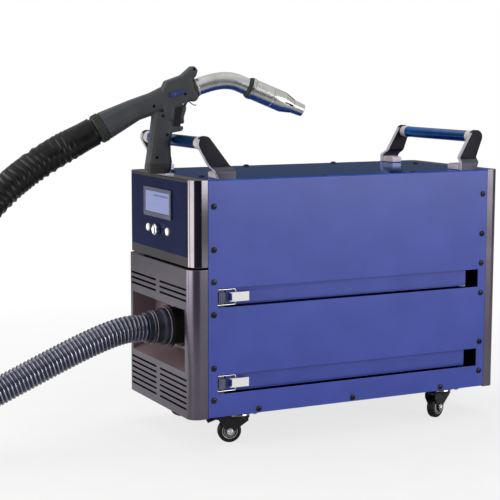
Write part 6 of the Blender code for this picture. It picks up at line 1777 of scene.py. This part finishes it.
cheeks = []
for sides in ((-0.0088, -0.0070), (0.0070, 0.0088)):
    cheeks.append(ring_faces([[on_torch(u, side, w) for u, w in CHEEK] for side in sides]))
bevelled(merge("trigger_cheeks", cheeks, "machine", black_plastic), 0.0004, 2)
pin_half = [(0, 0), (0, PIN_R - 0.0004), (0.0004, PIN_R)]
pin = pin_half + [(PIN_LONG - d, r) for d, r in reversed(pin_half)]
turned("trigger_pin", pin, on_torch(0.009, -PIN_LONG / 2, 0.0765), torch_way(0, 1, 0), "machine", chrome, 24)
hook = evenly([on_torch(u, 0, w) for u, w in HOOK], 24)
skin("wire_hook", swept(hook, [HOOK_WIRE_R] * len(hook), 12), "machine", chrome)
print("hook", round(length_of(hook) * 1000), "mm of wire")

# %% [markdown]
# The blue flow lever keeps the shape of its solid with soft edges. Its round boss
# is turned and rides on the lever, so both turn together.

# %% Flow lever
LEVER_BOSS = [
    (0, 0), (0, 0.0052), (0.0003, 0.0058), (0.0010, 0.0058), (0.0016, 0.0050), (0.0018, 0.0020), (0.0016, 0),
]
soft_copy("torch_flow_lever", lever_blue, 0.0007, 3, 30.0)
boss_at = on_torch(-0.014, -0.0238, 0.096)
turned("flow_lever_boss", LEVER_BOSS, boss_at, torch_way(0, -1, 0), "flow_lever", lever_blue, 32)
print("flow lever dressed")

# %% [markdown]
# ## Lock nut, neck and nozzle
#
# These are turned parts. The nut that holds the lead and the black half of the
# swivel ring have gripping ribs. A ring of points goes round in groups of four,
# and the first two of each group are drawn inwards, which leaves square ribs.

# %% Ribbed lock nut
NUT_TEETH, NUT_GROOVE = 30, 0.0011
LOCK_NUT = [
    (0, 0), (0, 0.0285), (0.0012, 0.0298), (0.0022, 0.0302), (0.0024, 0.0310), (0.0150, 0.0310),
    (0.0154, 0.0302), (0.0168, 0.0298), (0.0180, 0.0285), (0.0180, 0),
]


def gripped(name, profile, origin, way, look, teeth, depth, first, last):
    rings = turned_rings(profile, origin, way, teeth * 4)
    along = Vector(way).normalized()
    for (distance, radius), ring in zip(profile, rings):
        if not first <= distance <= last or len(ring) < 3:
            continue
        centre = Vector(origin) + along * distance
        for i in range(len(ring)):
            if i % 4 < 2:
                ring[i] = ring[i] + (centre - ring[i]).normalized() * depth
    return skin(name, rings, "machine", look, angle=28.0)


nut = gripped(
    "lock_nut_ribbed", LOCK_NUT, torch_rear + back * GAP, back, torch_dark, NUT_TEETH, NUT_GROOVE,
    0.0023, 0.0151)
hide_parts("torch_lock_nut")
print("ribs on the nut:", NUT_TEETH)

# %% [markdown]
# The neck is a polished tube along the same curve as the solid: straight out of
# the handle's mouth, a wide bend, and straight into the nozzle. A dark rim seals
# it at the mouth and a light band sits just in front.

# %% Polished neck
NECK_R, NECK_STRAIGHT = 0.018, 0.018
NECK_RISE, NOZZLE_DIP = math.radians(19.0), math.radians(22.5)
MOUTH_RIM = [(0.0050, 0.0183), (0.0050, 0.0202), (0.0104, 0.0208), (0.0116, 0.0202), (0.0118, 0.0183)]
NECK_BAND = [
    (0.0128, 0.0179), (0.0130, 0.0186), (0.0136, 0.0189),
    (0.0152, 0.0189), (0.0158, 0.0186), (0.0160, 0.0179),
]
nozzle_way = torch_way(math.cos(NOZZLE_DIP), 0, -math.sin(NOZZLE_DIP))
shroud_start = on_torch(0.162, 0, 0.106)
rise_way = torch_way(math.cos(NECK_RISE), 0, math.sin(NECK_RISE))
neck_start = on_torch(0.0271, 0, 0.1060)
neck_end = shroud_start - nozzle_way * 0.0156
reach = (neck_end - neck_start).length / 4
neck_out, neck_in = neck_start + rise_way * NECK_STRAIGHT, neck_end - nozzle_way * NECK_STRAIGHT
bend = bezier_points(neck_out, neck_out + rise_way * reach, neck_in - nozzle_way * reach, neck_in)
neck_path = evenly([neck_start, *bend, neck_end], 56)
neck = skin("polished_neck", swept(neck_path, [NECK_R] * len(neck_path), 64), "machine", polished)
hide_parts("torch_neck")
turned("mouth_rim", MOUTH_RIM, neck_start, rise_way, "machine", torch_dark, 64, True)
turned("neck_band", NECK_BAND, neck_start, rise_way, "machine", ferrule_grey, 64, True)
print("neck", round(length_of(neck_path), 3), "m")

# %% [markdown]
# The swivel ring has a black ribbed half towards the handle and a polished half towards the nozzle. Ten small
# dimples run round the polished half, where a pin key can grip it; their dark finish is painted shade.

# %% Swivel ring
RING_TEETH, RING_GROOVE, DIMPLES = 26, 0.0010, 10
POLISHED_FROM, DIMPLE_BACK, DIMPLE_OUT = -0.0073, 0.0035, 0.02305
SWIVEL_RING = [
    (0, 0), (0, 0.0182), (0.0008, 0.0190), (0.0034, 0.0212), (0.0068, 0.0226), (0.0074, 0.0222),
    (0.0078, 0.0222), (0.0082, 0.0230), (0.0090, 0.0232), (0.0142, 0.0232), (0.0150, 0.0227), (0.0150, 0),
]
DIMPLE = [(0, 0), (0, 0.0010), (0.00035, 0.0010), (0.0004, 0)]
nozzle_side = nozzle_way.cross(torch_way(0, 1, 0))


def around_nozzle(turn):
    return math.cos(turn) * nozzle_side + math.sin(turn) * torch_way(0, 1, 0)


ring_start = shroud_start - nozzle_way * 0.0153
swivel = gripped(
    "swivel_ring_ribbed", SWIVEL_RING, ring_start, nozzle_way, torch_dark, RING_TEETH, RING_GROOVE,
    0.0007, 0.0070)
swivel.data.materials.append(polished)
for face in swivel.data.polygons:
    if (face.center - shroud_start).dot(nozzle_way) > POLISHED_FROM:
        face.material_index = 1
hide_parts("torch_swivel_ring")
dimples = []
for i in range(DIMPLES):
    out = around_nozzle(2 * math.pi * (i + 0.5) / DIMPLES)
    place = shroud_start - nozzle_way * DIMPLE_BACK + out * DIMPLE_OUT
    dimples.append(ring_faces(turned_rings(DIMPLE, place, out, 12)))
merge("collar_notches", dimples, "machine", shade_dark)
print("dimples in the ring:", DIMPLES)

# %% [markdown]
# The shroud is a plain polished sleeve with a fine ring groove. It carries the
# nozzle, so its profile stops at the seam between the two.

# %% Shroud
SHROUD_R, SEAM_AT = 0.0219, 0.0434
SHROUD = [
    (0, 0.0170), (0, 0.0214), (0.0005, SHROUD_R), (0.0150, SHROUD_R), (0.0152, 0.0216), (0.0158, 0.0216),
    (0.0160, SHROUD_R), (SEAM_AT - 0.0005, SHROUD_R), (SEAM_AT, 0.0214), (SEAM_AT, 0.0170),
]
shroud = turned("shroud_sleeve", SHROUD, shroud_start, nozzle_way, "machine", polished, 80, True)
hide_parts("torch_shroud")
print("shroud", round(SEAM_AT * 1000, 1), "mm long")

# %% [markdown]
# The nozzle goes on from the shroud as a cone with an open bore. Six long slots
# are milled through the cone to let air in from the side. All slots are joined
# into one cutter, as the louvres were.

# %% Slotted nozzle
CONE = [
    (0.0437, 0.0170), (0.0437, 0.0214), (0.0442, SHROUD_R), (0.0706, SHROUD_R), (0.0714, 0.0216),
    (0.0925, 0.0155), (0.0938, 0.0150), (0.0942, 0.0144), (0.1178, 0.0130), (0.1186, 0.0124),
    (0.1186, 0.0112), (0.1182, 0.0108), (0.0936, 0.0112), (0.0710, 0.0170),
]
SLOTS, SLOT_HALF, SLOT_ENDS = 6, 0.0020, ((0.0905, -90), (0.0735, 90))
SLOT_DEPTHS = (0.0085, 0.026)

nozzle = turned("nozzle_cone", CONE, shroud_start, nozzle_way, "machine", polished, 96, True)
slots = []
for i in range(SLOTS):
    out = around_nozzle(2 * math.pi * (i + 0.5) / SLOTS)
    wide = nozzle_way.cross(out).normalized()
    ring = []
    for distance, start in SLOT_ENDS:
        for k in range(7):
            a = math.radians(start + 30 * k)
            along = nozzle_way * (distance + SLOT_HALF * math.cos(a))
            ring.append(shroud_start + along + wide * SLOT_HALF * math.sin(a))
    through = [[p + out * away for p in ring] for away in SLOT_DEPTHS]
    slots.append(skin("slot_cut", through, None, None, smooth=False))
carve(nozzle, [joined("slots_cut", slots)])
nozzle.data.set_sharp_from_angle(angle=math.radians(30.0))
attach(nozzle, "machine")
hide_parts("torch_nozzle")
print("nozzle faces:", len(nozzle.data.polygons))

# %% [markdown]
# The inside of the nozzle is painted dark as shade, and the stretch behind its mouth shows a little copper. A
# face lies inside when it is nearer to the axis than the outer wall of the cone at that place.

# %% Inside of the nozzle
CONE_FROM, CONE_SLOPE, TIP_R, COPPER_FROM = 0.0710, 0.305, 0.0128, 0.1130
nozzle.data.materials.append(copper)
nozzle.data.materials.append(shade_dark)
inner_faces = 0
for face in nozzle.data.polygons:
    from_start = face.center - shroud_start
    along = from_start.dot(nozzle_way)
    wall = SHROUD_R if along < CONE_FROM else max(SHROUD_R - (along - CONE_FROM) * CONE_SLOPE, TIP_R)
    if (from_start - nozzle_way * along).length < wall - 0.0010:
        face.material_index = 1 if along > COPPER_FROM else 2
        inner_faces += 1
print("faces inside the nozzle:", inner_faces)

# %% [markdown]
# ## The back
#
# The rear cover is moulded like the front ones, with a field of louvres, the
# mains inlet and a rocker switch. Its solid already has the openings and the
# cheeks that hold the rocker, so it needs only its finish and soft edges. The
# inlet's three pins are metal, picked out by their place and their small faces.

# %% Rear cover and fittings
PINS_WIDE, PINS_TALL, PIN_FACE = 0.0090, 0.0070, 0.00003

soft_copy("rear_cover", cover_satin, 0.0008, 3, 40.0)
soft_copy("rocker_switch", black_plastic, 0.0006, 3, 40.0)
inlet = soft_copy("power_inlet", black_plastic, 0.0005, 2, 40.0)
inlet.data.materials.append(steel)
inlet_low, inlet_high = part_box("power_inlet")
pin_faces = 0
for face in inlet.data.polygons:
    away = face.center - (inlet_low + inlet_high) / 2
    among_pins = abs(away.y) < PINS_WIDE and abs(away.z) < PINS_TALL
    if among_pins and face.normal.x > -0.9 and face.area < PIN_FACE:
        face.material_index = 1
        pin_faces += 1
print("faces of the inlet's pins:", pin_faces)
